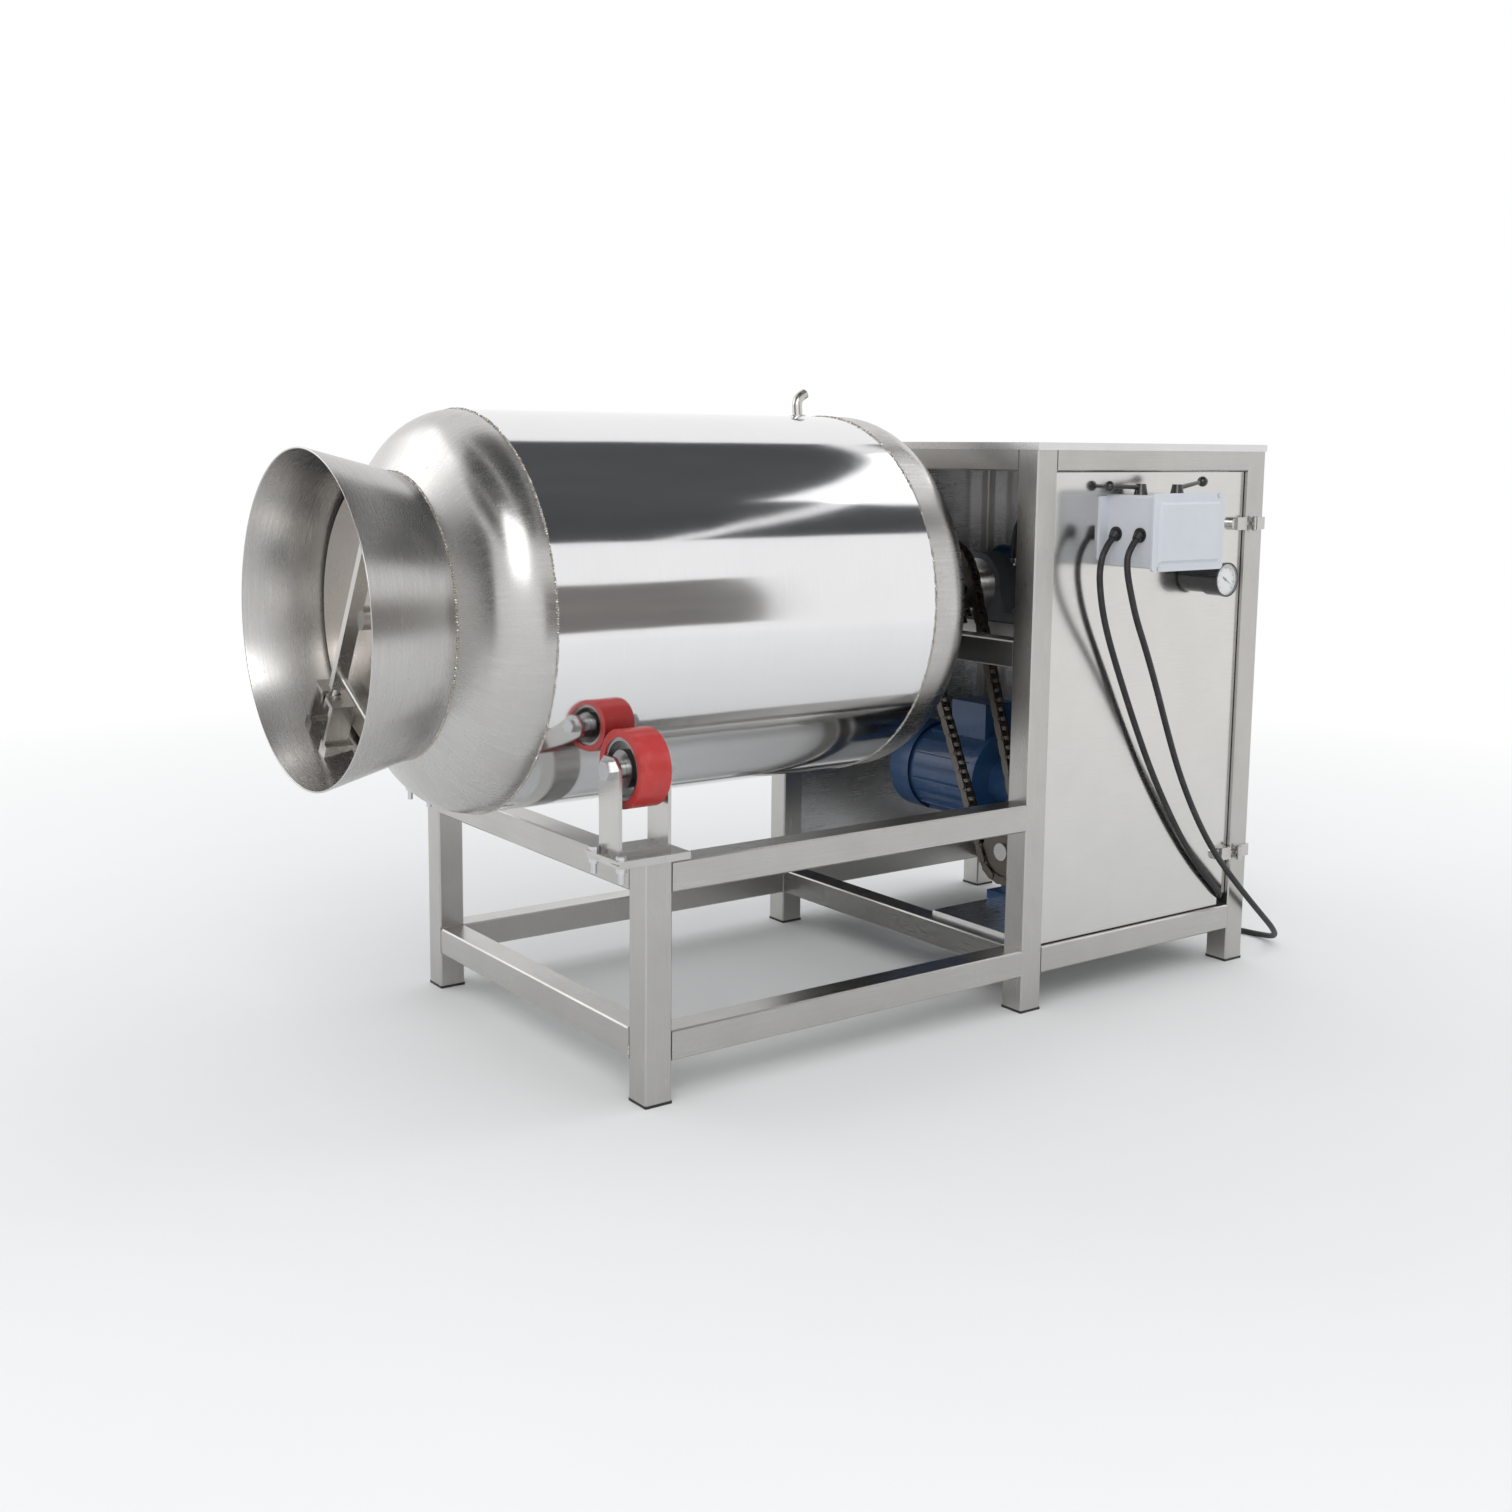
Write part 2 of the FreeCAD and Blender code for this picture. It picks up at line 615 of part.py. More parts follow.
def vacuum_port():
    """Bent stub of tube on a weld collar, on top of the shell near the rear seam."""
    foot, up = port_place()
    bend = math.radians(PORT_BEND)
    start = foot + up * 0.3
    knee = foot + up * PORT_RISE

    def on_bend(a):
        return knee + Y * (PORT_BEND_R * (1 - math.cos(a))) + up * (PORT_BEND_R * math.sin(a))

    leave = on_bend(bend)
    tail = leave + Y * (PORT_TAIL * math.sin(bend)) + up * (PORT_TAIL * math.cos(bend))
    path = Part.Wire([Part.LineSegment(start, knee).toShape(),
                      Part.Arc(knee, on_bend(bend / 2), leave).toShape(),
                      Part.LineSegment(leave, tail).toShape()])
    skins = [path.makePipeShell([Part.Wire(Part.makeCircle(r, start, up))], True, True)
             for r in (PORT_R, PORT_R - PORT_WALL)]
    collar = rod(PORT_COLLAR_R, foot - up * PORT_COLLAR_H, up, 2 * PORT_COLLAR_H)
    drum = rod(DRUM_R, Vector(0, SHELL_START, AXIS_Z), Y, SHELL_L)
    collar = collar.cut(drum).cut(rod(PORT_R - PORT_WALL, foot - up * PORT_COLLAR_H, up, 3 * PORT_COLLAR_H))
    return skins[0].cut(skins[1]).fuse(collar)


def drum_hub():
    """Hub welded to the rear head, with a plate bedded on the crown."""
    crown = rear_crown_y(HUB_PLATE_R)
    plate = ring(HUB_PLATE_R, HUB_R, Vector(0, crown, AXIS_Z), Y, HUB_PLATE_T + rear_crown_y(0) - crown)
    head = rear_head_core()
    hub = ring(HUB_R, SHAFT_R, Vector(0, rear_crown_y(0) - DRUM_WALL, AXIS_Z), Y,
               HUB_END - rear_crown_y(0) + DRUM_WALL)
    return plate.cut(head).fuse(hub)


def rear_head_core():
    """Everything inside the rear head's outside, to bed parts on it."""
    bend, crown = rear_crown(0)
    return around_axis([Part.LineSegment(at(SHELL_END, 0), at(SHELL_END, DRUM_R)).toShape(),
                        Part.LineSegment(at(SHELL_END, DRUM_R), bend[0]).toShape(),
                        Part.Arc(*bend).toShape(), Part.Arc(*crown).toShape(),
                        Part.LineSegment(crown[2], at(SHELL_END, 0)).toShape()])


def drum_shaft():
    """Hollow shaft from inside the hub to the rotary union."""
    start = rear_crown_y(0) - DRUM_WALL
    return ring(SHAFT_R, SHAFT_BORE, Vector(0, start, AXIS_Z), Y, SHAFT_END - start)


def inlet_strainer():
    """Perforated cup over the shaft's bore inside the drum."""
    start = rear_crown_y(0) - DRUM_WALL
    cup = rod(HUB_R - SEAT_T, Vector(0, start - SHAFT_R, AXIS_Z), Y, SHAFT_R)
    cup = cup.cut(rod(HUB_R - 2 * SEAT_T, Vector(0, start - SHAFT_R + DRUM_WALL, AXIS_Z), Y, SHAFT_R))
    for i in range(8):
        a = math.radians(45 * i)
        hole = Vector(math.cos(a), 0, math.sin(a))
        cup = cup.cut(rod(SEAT_T, Vector(0, start - SHAFT_R / 2, AXIS_Z), hole, HUB_R))
    return cup


# ================================================================ lid and clamp
BAR_DIR = Vector(math.cos(math.radians(BAR_ANGLE)), 0, math.sin(math.radians(BAR_ANGLE)))
BAR_SIDE = Vector(math.sin(math.radians(BAR_ANGLE)), 0, -math.cos(math.radians(BAR_ANGLE)))


def along_bar(low, high, width, y0, y1):
    """A block along the clamp bar: low and high from the axis, width across it."""
    middle = Vector(0, y0, AXIS_Z)
    half = BAR_SIDE * (width / 2)
    corners = [middle + BAR_DIR * low - half, middle + BAR_DIR * high - half,
               middle + BAR_DIR * high + half, middle + BAR_DIR * low + half]
    return prism(corners, Y * (y1 - y0))


def lid():
    """Pressed lid: a flat rim and a shallow dome."""
    rim = SEAT_R - GASKET_W / 2
    front, back = LID_Y - LID_T, LID_Y
    dome = [at(front, rim), at(front - LID_DOME * 0.75, rim / 2), at(front - LID_DOME, BOSS_BORE)]
    hollow = [at(back, rim), at(back - LID_DOME * 0.75, rim / 2), at(back - LID_DOME, BOSS_BORE)]
    return around_axis([Part.LineSegment(at(back, LID_R), at(front, LID_R)).toShape(),
                        Part.LineSegment(at(front, LID_R), dome[0]).toShape(),
                        Part.Arc(*dome).toShape(),
                        Part.LineSegment(dome[2], hollow[2]).toShape(),
                        Part.Arc(*reversed(hollow)).toShape(),
                        Part.LineSegment(hollow[0], at(back, LID_R)).toShape()])


def lid_gasket():
    """Flat ring between the lid and the seat; it rides on the lid."""
    middle = SEAT_R + SEAT_T / 2
    return ring(middle + GASKET_W / 2, middle - GASKET_W / 2,
                Vector(0, LID_Y, AXIS_Z), Y, GASKET_T - SEAT_GAP)


def clamp_bar():
    """Bar across the lid with its middle boss and the cross pin at its lower end."""
    bar = along_bar(-BAR_LOW, BAR_HIGH, BAR_T, BAR_Y - BAR_D / 2, BAR_Y + BAR_D / 2)
    boss = rod(BOSS_R, Vector(0, BAR_Y + BAR_D / 2, AXIS_Z), Y,
               LID_Y - LID_T - LID_DOME - BAR_Y - BAR_D / 2)
    pin_at = Vector(0, BAR_Y, AXIS_Z) - BAR_DIR * (BAR_LOW - 2 * BAR_T)
    pin = rod(TOMMY_R, pin_at, BAR_SIDE, TOMMY_L).fuse(
        Part.makeSphere(TOMMY_R * 1.6, pin_at + BAR_SIDE * TOMMY_L))
    return bar.fuse(boss).fuse(pin)


def clamp_stud():
    """Threaded stud in the bar's lower end, pointing at the mouth's wall."""
    start = Vector(0, BAR_Y, AXIS_Z) - BAR_DIR * BAR_LOW
    return rod(STUD_R, start, BAR_DIR * -1, LUG_LOW_R + LUG_T + NUT_H + STUD_PAST - BAR_LOW)


def cone_core():
    """Everything inside the mouth's inner wall, to trim the lugs to it."""
    return around_axis(outline([at(NECK_Y, 0), at(NECK_Y, NECK_R - DRUM_WALL),
                                at(RIM_Y, RIM_R - DRUM_WALL), at(RIM_Y, 0)]))


def yoke_shift(side):
    """Where one arm of the yoke lies beside the bar's middle plane."""
    return BAR_SIDE * (side * (LUG_W / 2 + LUG_T / 2))


def clamp_yoke():
    """Slotted plate under the wing nut with an arm at each side; it comes away with the lid."""
    depth = BAR_D / 2 + LUG_T
    slot = along_bar(-LUG_LOW_R - 3 * LUG_T, -LUG_LOW_R + LUG_T, 2 * (STUD_R + STUD_CLEAR),
                     BAR_Y - depth, BAR_Y + STUD_R + STUD_CLEAR)
    yoke = along_bar(-LUG_LOW_R - LUG_T, -LUG_LOW_R, LUG_W, BAR_Y - depth, BAR_Y + depth).cut(slot)
    for side in (-1, 1):
        arm = along_bar(-YOKE_R, -LUG_LOW_R, LUG_T, BAR_Y - depth, BAR_Y + depth)
        arm.translate(yoke_shift(side))
        yoke = yoke.fuse(arm)
    return yoke.removeSplitter()


def clamp_lugs():
    """Three open lugs on the mouth's wall, clear of the lid's way out: two for the yoke, one for the bar."""
    core = cone_core()
    depth = BAR_D / 2 + LUG_T
    inner = LID_R + LID_PASS
    solids = []
    for side in (-1, 1):
        ear = along_bar(-RIM_R, -inner, 3 * LUG_T, BAR_Y - depth, BAR_Y + depth + LUG_T)
        gap = along_bar(-YOKE_R - SADDLE_GAP, 0, LUG_T + 2 * SADDLE_GAP, BAR_Y - depth,
                        BAR_Y + depth + SADDLE_GAP)
        ear = ear.cut(gap)
        ear.translate(yoke_shift(side))
        solids.append(ear.common(core))
    saddle = along_bar(inner, RIM_R, BAR_T + 2 * LUG_T, BAR_Y - depth, BAR_Y + depth)
    gap = along_bar(0, BAR_HIGH + SADDLE_GAP, BAR_T + 2 * SADDLE_GAP, BAR_Y - depth,
                    BAR_Y + BAR_D / 2 + SADDLE_GAP)
    solids.append(saddle.cut(gap).common(core))
    return solids


def wing_nut():
    """Wing nut on the stud: a round body and two fingers that curve outwards and up."""
    out = BAR_DIR * -1
    foot = Vector(0, BAR_Y, AXIS_Z) + out * (LUG_LOW_R + LUG_T + SEAT_GAP)
    shape = Part.makeCone(NUT_R, NUT_R * 0.8, NUT_H, foot, out)
    for side in (-1, 1):
        def spot(reach, height):
            return foot - Y * (WING_T / 2) + BAR_SIDE * (side * reach) + out * height

        tip_in, tip_out = spot(WING_R - WING_T, WING_H - WING_T / 2), spot(WING_R, WING_H - WING_T / 2)
        root_in, root_out = spot(STUD_R, NUT_H), spot(NUT_R, NUT_H / 6)
        finger = Part.Wire([
            Part.Arc(root_out, spot(WING_R * 0.88, NUT_H), tip_out).toShape(),
            Part.Arc(tip_out, spot(WING_R - WING_T / 2, WING_H), tip_in).toShape(),
            Part.Arc(tip_in, spot(WING_R * 0.6, NUT_H * 1.5), root_in).toShape(),
            Part.LineSegment(root_in, spot(STUD_R, NUT_H / 6)).toShape(),
            Part.LineSegment(spot(STUD_R, NUT_H / 6), root_out).toShape()])
        shape = shape.fuse(Part.Face(finger).extrude(Y * WING_T))
    return shape.cut(rod(STUD_R + RUN_FIT, foot, out, WING_H))


# ================================================================ rollers
def roller_axis():
    """A point on the right roller's axis at the roller's middle."""
    return Vector(ROLLER_X, ROLLER_Y, ROLLER_Z)


def centred_ring(outer, inner, width, offset=0.0):
    """A ring about the right roller's axis, its middle offset along Y."""
    return ring(outer, inner, roller_axis() + Y * (offset - width / 2), Y, width)


def roller_tread():
    """Urethane tyre."""
    return centred_ring(ROLLER_R, ROLLER_R - TREAD_T, ROLLER_W)


def roller_core():
    """Wheel centre: rim, web and hub in one."""
    rim_r = ROLLER_R - TREAD_T
    rim = centred_ring(rim_r, rim_r - CORE_RIM, CORE_W)
    web = centred_ring(rim_r, BEARING_OD_R, CORE_WEB)
    hub = centred_ring(BEARING_OD_R + HUB_WALL, BEARING_OD_R, CORE_W)
    return rim.fuse(web).fuse(hub)


def roller_bearings():
    """Two ball bearings pressed into the hub's ends."""
    offset = (CORE_W - BEARING_W) / 2
    return [centred_ring(BEARING_OD_R, AXLE_R + RUN_FIT, BEARING_W, side * offset) for side in (-1, 1)]


def roller_spacers():
    """Collars between the bearings and the fork."""
    inner = FORK_SPAN / 2 - FORK_T
    length = inner - CORE_W / 2 - SEAT_GAP
    middle = inner - length / 2
    return [centred_ring(SPACER_R, AXLE_R, length, side * middle) for side in (-1, 1)]


def roller_fork():
    """Fork: two cheeks with clipped corners on a base strip."""
    corner = FORK_W / 4
    top = ROLLER_Z + FORK_ABOVE
    near = ROLLER_Y - FORK_SPAN / 2
    half = FORK_W / 2
    profile = [Vector(ROLLER_X - half, near, FORK_BASE), Vector(ROLLER_X + half, near, FORK_BASE),
               Vector(ROLLER_X + half, near, top - corner), Vector(ROLLER_X + half - corner, near, top),
               Vector(ROLLER_X - half + corner, near, top), Vector(ROLLER_X - half, near, top - corner)]
    cheeks = prism(profile, Y * FORK_SPAN).cut(
        box((ROLLER_X - FORK_W, ROLLER_X + FORK_W),
            (near + FORK_T, near + FORK_SPAN - FORK_T), (FORK_BASE + FORK_T, top)))
    return cheeks.cut(rod(AXLE_R, Vector(ROLLER_X, near, ROLLER_Z), Y, FORK_SPAN))


def roller_axle():
    """Axle bolt through the fork."""
    near = ROLLER_Y - FORK_SPAN / 2
    return bolt(AXLE_R, Vector(ROLLER_X, near, ROLLER_Z), Y, FORK_SPAN + 2 * AXLE_R, AXLE_R)


def roller_axle_nut():
    """Nut behind the fork."""
    return nut(AXLE_R, Vector(ROLLER_X, ROLLER_Y + FORK_SPAN / 2, ROLLER_Z), Y)


def plate_bolt_places():
    """Bolt centres of the right roller plates: two in front, one at the inner rear corner."""
    x0, x1 = PLATE_X[0] + PLATE_EDGE, PLATE_X[1] - PLATE_EDGE
    y0, y1 = PLATE_Y[0] + PLATE_EDGE, PLATE_Y[1] - PLATE_EDGE
    return [(x0, y0), (x1, y0), (x0, y1)]


def roller_plate(level):
    """One of the two plates under a fork: level 0 is welded to the frame, level 1 is bolted on it."""
    z = RAIL_TOP + level * PLATE_T
    plate = box(PLATE_X, PLATE_Y, (z, z + PLATE_T))
    for x, y in plate_bolt_places():
        plate = plate.cut(rod(PLATE_BOLT_R + BOLT_HOLE_GAP, Vector(x, y, z), Z, PLATE_T))
    return plate


def plate_bolts():
    """Bolts from above through both plates, with nuts and a length of thread below."""
    solids = []
    for x, y in plate_bolt_places():
        top = Vector(x, y, FORK_BASE)
        solids.append(bolt(PLATE_BOLT_R, top, Z * -1, 2 * PLATE_T + 5 * PLATE_BOLT_R, PLATE_BOLT_R * 1.3))
        solids.append(nut(PLATE_BOLT_R, Vector(x, y, RAIL_TOP), Z * -1))
    return solids


# ================================================================ shaft bearings
def pillow_block(y):
    """Cast pillow block: a foot with two ears and a ring round the insert."""
    low = SHAFT_RAIL_TOP
    near = y - BLOCK_W / 2
    foot = box((-BLOCK_L / 2, BLOCK_L / 2), (near, near + BLOCK_W), (low, low + BLOCK_FOOT))
    half = BLOCK_RING
    shoulder = prism([Vector(-half - BLOCK_FOOT, near, low), Vector(half + BLOCK_FOOT, near, low),
                      Vector(half, near, AXIS_Z), Vector(-half, near, AXIS_Z)], Y * BLOCK_W)
    block = foot.fuse(shoulder).fuse(rod(BLOCK_RING, Vector(0, near, AXIS_Z), Y, BLOCK_W))
    block = block.cut(rod(INSERT_R, Vector(0, near, AXIS_Z), Y, BLOCK_W))
    for x in (-BLOCK_BOLT_X, BLOCK_BOLT_X):
        block = block.cut(rod(BLOCK_BOLT_R + BOLT_HOLE_GAP, Vector(x, y, low), Z, BLOCK_FOOT))
    return block


def bearing_insert(y):
    """Insert bearing in the block."""
    return ring(INSERT_R, SHAFT_R + RUN_FIT, Vector(0, y - BLOCK_W / 2, AXIS_Z), Y, BLOCK_W)


def block_bolts(bearing_ys):
    """Bolts through the blocks and the rails, with their nuts."""
    solids = []
    for y in bearing_ys:
        for x in (-BLOCK_BOLT_X, BLOCK_BOLT_X):
            top = Vector(x, y, SHAFT_RAIL_TOP + BLOCK_FOOT)
            solids.append(bolt(BLOCK_BOLT_R, top, Z * -1, BLOCK_FOOT + TUBE + 3 * BLOCK_BOLT_R,
                               BLOCK_BOLT_R * 1.3))
            solids.append(nut(BLOCK_BOLT_R, Vector(x, y, BEARING_RAIL_Z), Z * -1))
    return solids


def shaft_collar(y):
    """Set collar beside the rear bearing, on the shaft."""
    return ring(SHAFT_R * 1.5, SHAFT_R, Vector(0, y, AXIS_Z), Y, SHAFT_R / 2)


# ================================================================ chain drive
def pitch_radius(teeth):
    """Radius on which the chain's pins lie."""
    return PITCH / (2 * math.sin(math.pi / teeth))


def seat_angles(teeth, seated):
    """Angles of the seated rollers about the outward direction of the line of centres."""
    step = 2 * math.pi / teeth
    return [(i - (seated - 1) / 2) * step for i in range(seated)]


def centre_distance():
    """Distance between the sprockets that makes each strand a whole number of pitches."""
    up = seat_angles(DRIVEN_TEETH, DRIVEN_SEATED)[-1]
    low = seat_angles(DRIVE_TEETH, DRIVE_SEATED)[-1]
    r_up, r_low = pitch_radius(DRIVEN_TEETH), pitch_radius(DRIVE_TEETH)
    across = r_up * math.sin(up) - r_low * math.sin(low)
    strand = math.sqrt((STRAND_PITCHES * PITCH) ** 2 - across ** 2)
    return strand - r_up * math.cos(up) - r_low * math.cos(low)


DRIVEN = Vector(0, CHAIN_Y, AXIS_Z)
DRIVE = Vector(math.sqrt(centre_distance() ** 2 - (AXIS_Z - DRIVE_Z) ** 2), CHAIN_Y, DRIVE_Z)
LINE = (DRIVE - DRIVEN).normalize()         # from the driven to the drive sprocket
ACROSS = Vector(-LINE.z, 0, LINE.x)         # at right angles to it, in the chain's plane


def seats(centre, outward, teeth, seated):
    """Roller centres on one sprocket, in order round it."""
    r = pitch_radius(teeth)
    return [centre + outward * (r * math.cos(a)) + ACROSS * (r * math.sin(a))
            for a in seat_angles(teeth, seated)]


def chain_rollers():
    """Roller centres round the whole chain."""
    up = seats(DRIVEN, LINE * -1, DRIVEN_TEETH, DRIVEN_SEATED)
    low = seats(DRIVE, LINE, DRIVE_TEETH, DRIVE_SEATED)[::-1]
    down = [up[-1] + (low[0] - up[-1]) * (i / STRAND_PITCHES) for i in range(1, STRAND_PITCHES)]
    back = [low[-1] + (up[0] - low[-1]) * (i / STRAND_PITCHES) for i in range(1, STRAND_PITCHES)]
    return up + down + low + back


def sprocket(centre, outward, teeth, seated, hub_r, bore_r, hub_side):
    """Sprocket plate with round seats for the rollers, and its hub."""
    r = pitch_radius(teeth)
    tip_r = PITCH * (0.6 + 1 / math.tan(math.pi / teeth)) / 2
    seat_r = CHAIN_ROLLER_R + SEAT_CLEAR
    step = 2 * math.pi / teeth
    open_angle = math.radians(62)
    tip_angle = step / 2 - 0.09 * PITCH / tip_r
    first = (seated - 1) / 2 % 1 * step
    near = centre - Y * (TOOTH_W / 2)

    def place(angle, radius):
        return near + outward * (radius * math.cos(angle)) + ACROSS * (radius * math.sin(angle))

    def seat_point(angle, turn):
        centre_here = place(angle, r)
        inward = angle + math.pi + turn
        return centre_here + outward * (seat_r * math.cos(inward)) + ACROSS * (seat_r * math.sin(inward))

    edges = []
    for i in range(teeth):
        a = first + i * step
        arc = [seat_point(a, open_angle), seat_point(a, 0), seat_point(a, -open_angle)]
        tip, next_tip = place(a + tip_angle, tip_r), place(a + step - tip_angle, tip_r)
        edges += [Part.Arc(*arc).toShape(), Part.LineSegment(arc[2], tip).toShape(),
                  Part.LineSegment(tip, next_tip).toShape(),
                  Part.LineSegment(next_tip, seat_point(a + step, open_angle)).toShape()]
    plate = Part.Face(Part.Wire(edges)).extrude(Y * TOOTH_W)
    hub = rod(hub_r, centre, Y * hub_side, TOOTH_W / 2 + SPROCKET_HUB_L)
    bore = rod(bore_r, centre - Y * (2 * SPROCKET_HUB_L), Y, 4 * SPROCKET_HUB_L)
    return plate.fuse(hub).cut(bore)


def driven_sprocket():
    """Large sprocket on the drum's shaft, with lightening holes."""
    wheel = sprocket(DRIVEN, LINE * -1, DRIVEN_TEETH, DRIVEN_SEATED, DRIVEN_HUB_R, SHAFT_R, 1)
    hole_r = (pitch_radius(DRIVEN_TEETH) - DRIVEN_HUB_R) / 4
    middle = (pitch_radius(DRIVEN_TEETH) + DRIVEN_HUB_R) / 2 - CHAIN_ROLLER_R / 2
    for i in range(6):
        a = math.radians(60 * i)
        spot = DRIVEN + Vector(middle * math.cos(a), -TOOTH_W, middle * math.sin(a))
        wheel = wheel.cut(rod(hole_r, spot, Y, 2 * TOOTH_W))
    return wheel


def drive_sprocket():
    """Small sprocket on the gear unit's shaft."""
    return sprocket(DRIVE, LINE, DRIVE_TEETH, DRIVE_SEATED, DRIVE_HUB_R, OUT_R, 1)


def link_plate(a, b, y0, y1, height):
    """A link plate between two pins: a long octagon that follows the plate's rounded ends."""
    along = (b - a).normalize()
    up = Vector(-along.z, 0, along.x)
    h = height / 2
    tip, near = h, h * 0.42
    corners = [(-tip, -near), (-near, -h), (PITCH + near, -h), (PITCH + tip, -near),
               (PITCH + tip, near), (PITCH + near, h), (-near, h), (-tip, near)]
    level = Vector(0, y0, 0)
    points = [Vector(a.x, 0, a.z) + level + along * u + up * v for u, v in corners]
    return prism(points, Y * (y1 - y0))


def octagon_pin(centre, radius, y0, y1):
    """An eight-sided pin or roller along Y."""
    points = [Vector(centre.x + radius * math.cos(a), y0, centre.z + radius * math.sin(a))
              for a in (math.radians(45 * i + 22.5) for i in range(8))]
    return prism(points, Y * (y1 - y0))


def chain_links():
    """Roller links and pin links, one after the other round the chain."""
    pins = chain_rollers()
    inner = CHAIN_INNER_W / 2
    outer = inner + CHAIN_PLATE_T
    roller_links, pin_links = [], []
    for i, (a, b) in enumerate(zip(pins, pins[1:] + pins[:1])):
        if i % 2 == 0:
            link = link_plate(a, b, CHAIN_Y - outer, CHAIN_Y - inner, CHAIN_PLATE_H)
            link = link.fuse(link_plate(a, b, CHAIN_Y + inner, CHAIN_Y + outer, CHAIN_PLATE_H))
            for pin in (a, b):
                link = link.fuse(octagon_pin(pin, CHAIN_ROLLER_R, CHAIN_Y - inner, CHAIN_Y + inner))
            roller_links.append(link)
        else:
            for side in (-1, 1):
                y = sorted((CHAIN_Y + side * outer, CHAIN_Y + side * (outer + CHAIN_PLATE_T)))
                pin_links.append(link_plate(a, b, y[0], y[1], CHAIN_PLATE_H * 0.9))
    return roller_links, pin_links


# ================================================================ gear unit and motor
def gearbox():
    """Worm gear unit: round wheel case on feet with the worm tunnel above it."""
    x, y = DRIVE.x, GEAR_Y
    half = GEAR_CASE_W / 2
    foot_z = LOWER_RAIL_Z + TUBE + BASE_PLATE
    case = rod(GEAR_CASE_R, Vector(x, y - half, DRIVE_Z), Y, GEAR_CASE_W)
    foot = box((x - GEAR_CASE_R, x + GEAR_CASE_R), (y - half, y + half), (foot_z, foot_z + FOOT_T))
    legs_ = box((x - GEAR_CASE_R * 0.8, x + GEAR_CASE_R * 0.8), (y - half * 0.7, y + half * 0.7),
                (foot_z, DRIVE_Z))
    worm = rod(WORM_R, Vector(x - GEAR_CASE_R - FOOT_T, y, WORM_Z), X, 2 * GEAR_CASE_R)
    boss = rod(GEAR_CASE_R * 0.5, Vector(x, y - GEAR_FACE, DRIVE_Z), Y, 2 * GEAR_FACE)
    unit = case.fuse(foot).fuse(legs_).fuse(worm).fuse(boss)
    return unit.cut(rod(OUT_R + RUN_FIT, Vector(x, y - GEAR_FACE, DRIVE_Z), Y, GEAR_FACE))


def output_shaft():
    """Gear unit's output shaft, out to the front of the drive sprocket."""
    start = CHAIN_Y - TOOTH_W
    return rod(OUT_R, Vector(DRIVE.x, start, DRIVE_Z), Y, GEAR_Y - start - 1)


MOTOR_FACE = DRIVE.x - GEAR_CASE_R - FOOT_T


def drive_motor():
    """Finned motor body on its flange."""
    flange = rod(MOTOR_R * 1.04, Vector(MOTOR_FACE, GEAR_Y, WORM_Z), X * -1, MOTOR_FLANGE_T)
    body = rod(MOTOR_R - FIN_H, Vector(MOTOR_FACE, GEAR_Y, WORM_Z), X * -1, MOTOR_L)
    for i in range(FINS):
        turn = 360.0 * i / FINS
        fin = box((MOTOR_FACE - MOTOR_L + MOTOR_FLANGE_T, MOTOR_FACE - MOTOR_FLANGE_T), (-1.5, 1.5),
                  (MOTOR_R - 2 * FIN_H, MOTOR_R))
        place = Placement(Vector(0, GEAR_Y, WORM_Z), Rotation(X, turn + 180.0 / FINS))
        body = body.fuse(fin.transformGeometry(place.toMatrix()))
    shield = rod(MOTOR_R - SHEET, Vector(MOTOR_FACE - MOTOR_L, GEAR_Y, WORM_Z), X * -1, FIN_H)
    return body.fuse(flange).fuse(shield)


def fan_cover():
    """Pressed cowl over the motor's fan."""
    start = MOTOR_FACE - MOTOR_L
    cowl = rod(MOTOR_R, Vector(start, GEAR_Y, WORM_Z), X * -1, FAN_COVER_L)
    rim = cowl.Edges
    ends = [e for e in rim if abs(e.CenterOfMass.x - (start - FAN_COVER_L)) < 1]
    cowl = cowl.makeFillet(FIN_H, ends)
    return cowl.cut(rod(MOTOR_R - SHEET, Vector(start, GEAR_Y, WORM_Z), X * -1, FAN_COVER_L - FIN_H))


def terminal_box():
    """Box on top of the motor, trimmed to its round body."""
    lx, ly, lz = TERMINAL_BOX
    x1 = MOTOR_FACE - MOTOR_FLANGE_T - 6
    solid = box((x1 - lx, x1), (GEAR_Y - ly / 2, GEAR_Y + ly / 2),
                (WORM_Z, WORM_Z + MOTOR_R + lz))
    return solid.cut(rod(MOTOR_R + SEAT_GAP, Vector(MOTOR_FACE, GEAR_Y, WORM_Z), X * -1, MOTOR_L))


# ================================================================ vacuum set
def rotary_union():
    """Union on the shaft's end with a port on top."""
    start = SHAFT_END - UNION_L / 3
    body = rod(SHAFT_R * 1.35, Vector(0, start, AXIS_Z), Y, UNION_L)
    port = rod(HOSE_R, Vector(0, SHAFT_END + UNION_L / 3, AXIS_Z), Z, SHAFT_R * 1.35 + HOSE_R)
    return body.fuse(port).cut(rod(SHAFT_R + RUN_FIT, Vector(0, start, AXIS_Z), Y, UNION_L / 3 + 1))


def pump_base_z():
    """Shelf's top face."""
    return SHAFT_RAIL_TOP + SHELF_SHEET


def vacuum_pump():
    """Rotary vane pump case with its inlet on top."""
    lx, ly, lz = PUMP_CASE
    z = pump_base_z()
    case = box((0, lx), (PUMP_Y - ly / 2, PUMP_Y + ly / 2), (z, z + lz))
    case = case.makeFillet(HOSE_R, [e for e in case.Edges if e.Length > lx - 1 and e.BoundBox.ZMin > z + 1
                                    and e.BoundBox.XLength > lx - 1])
    inlet = rod(HOSE_R * 1.3, Vector(*hose_end()) - Z * FILTER_R, Z, FILTER_R)
    return case.fuse(inlet)


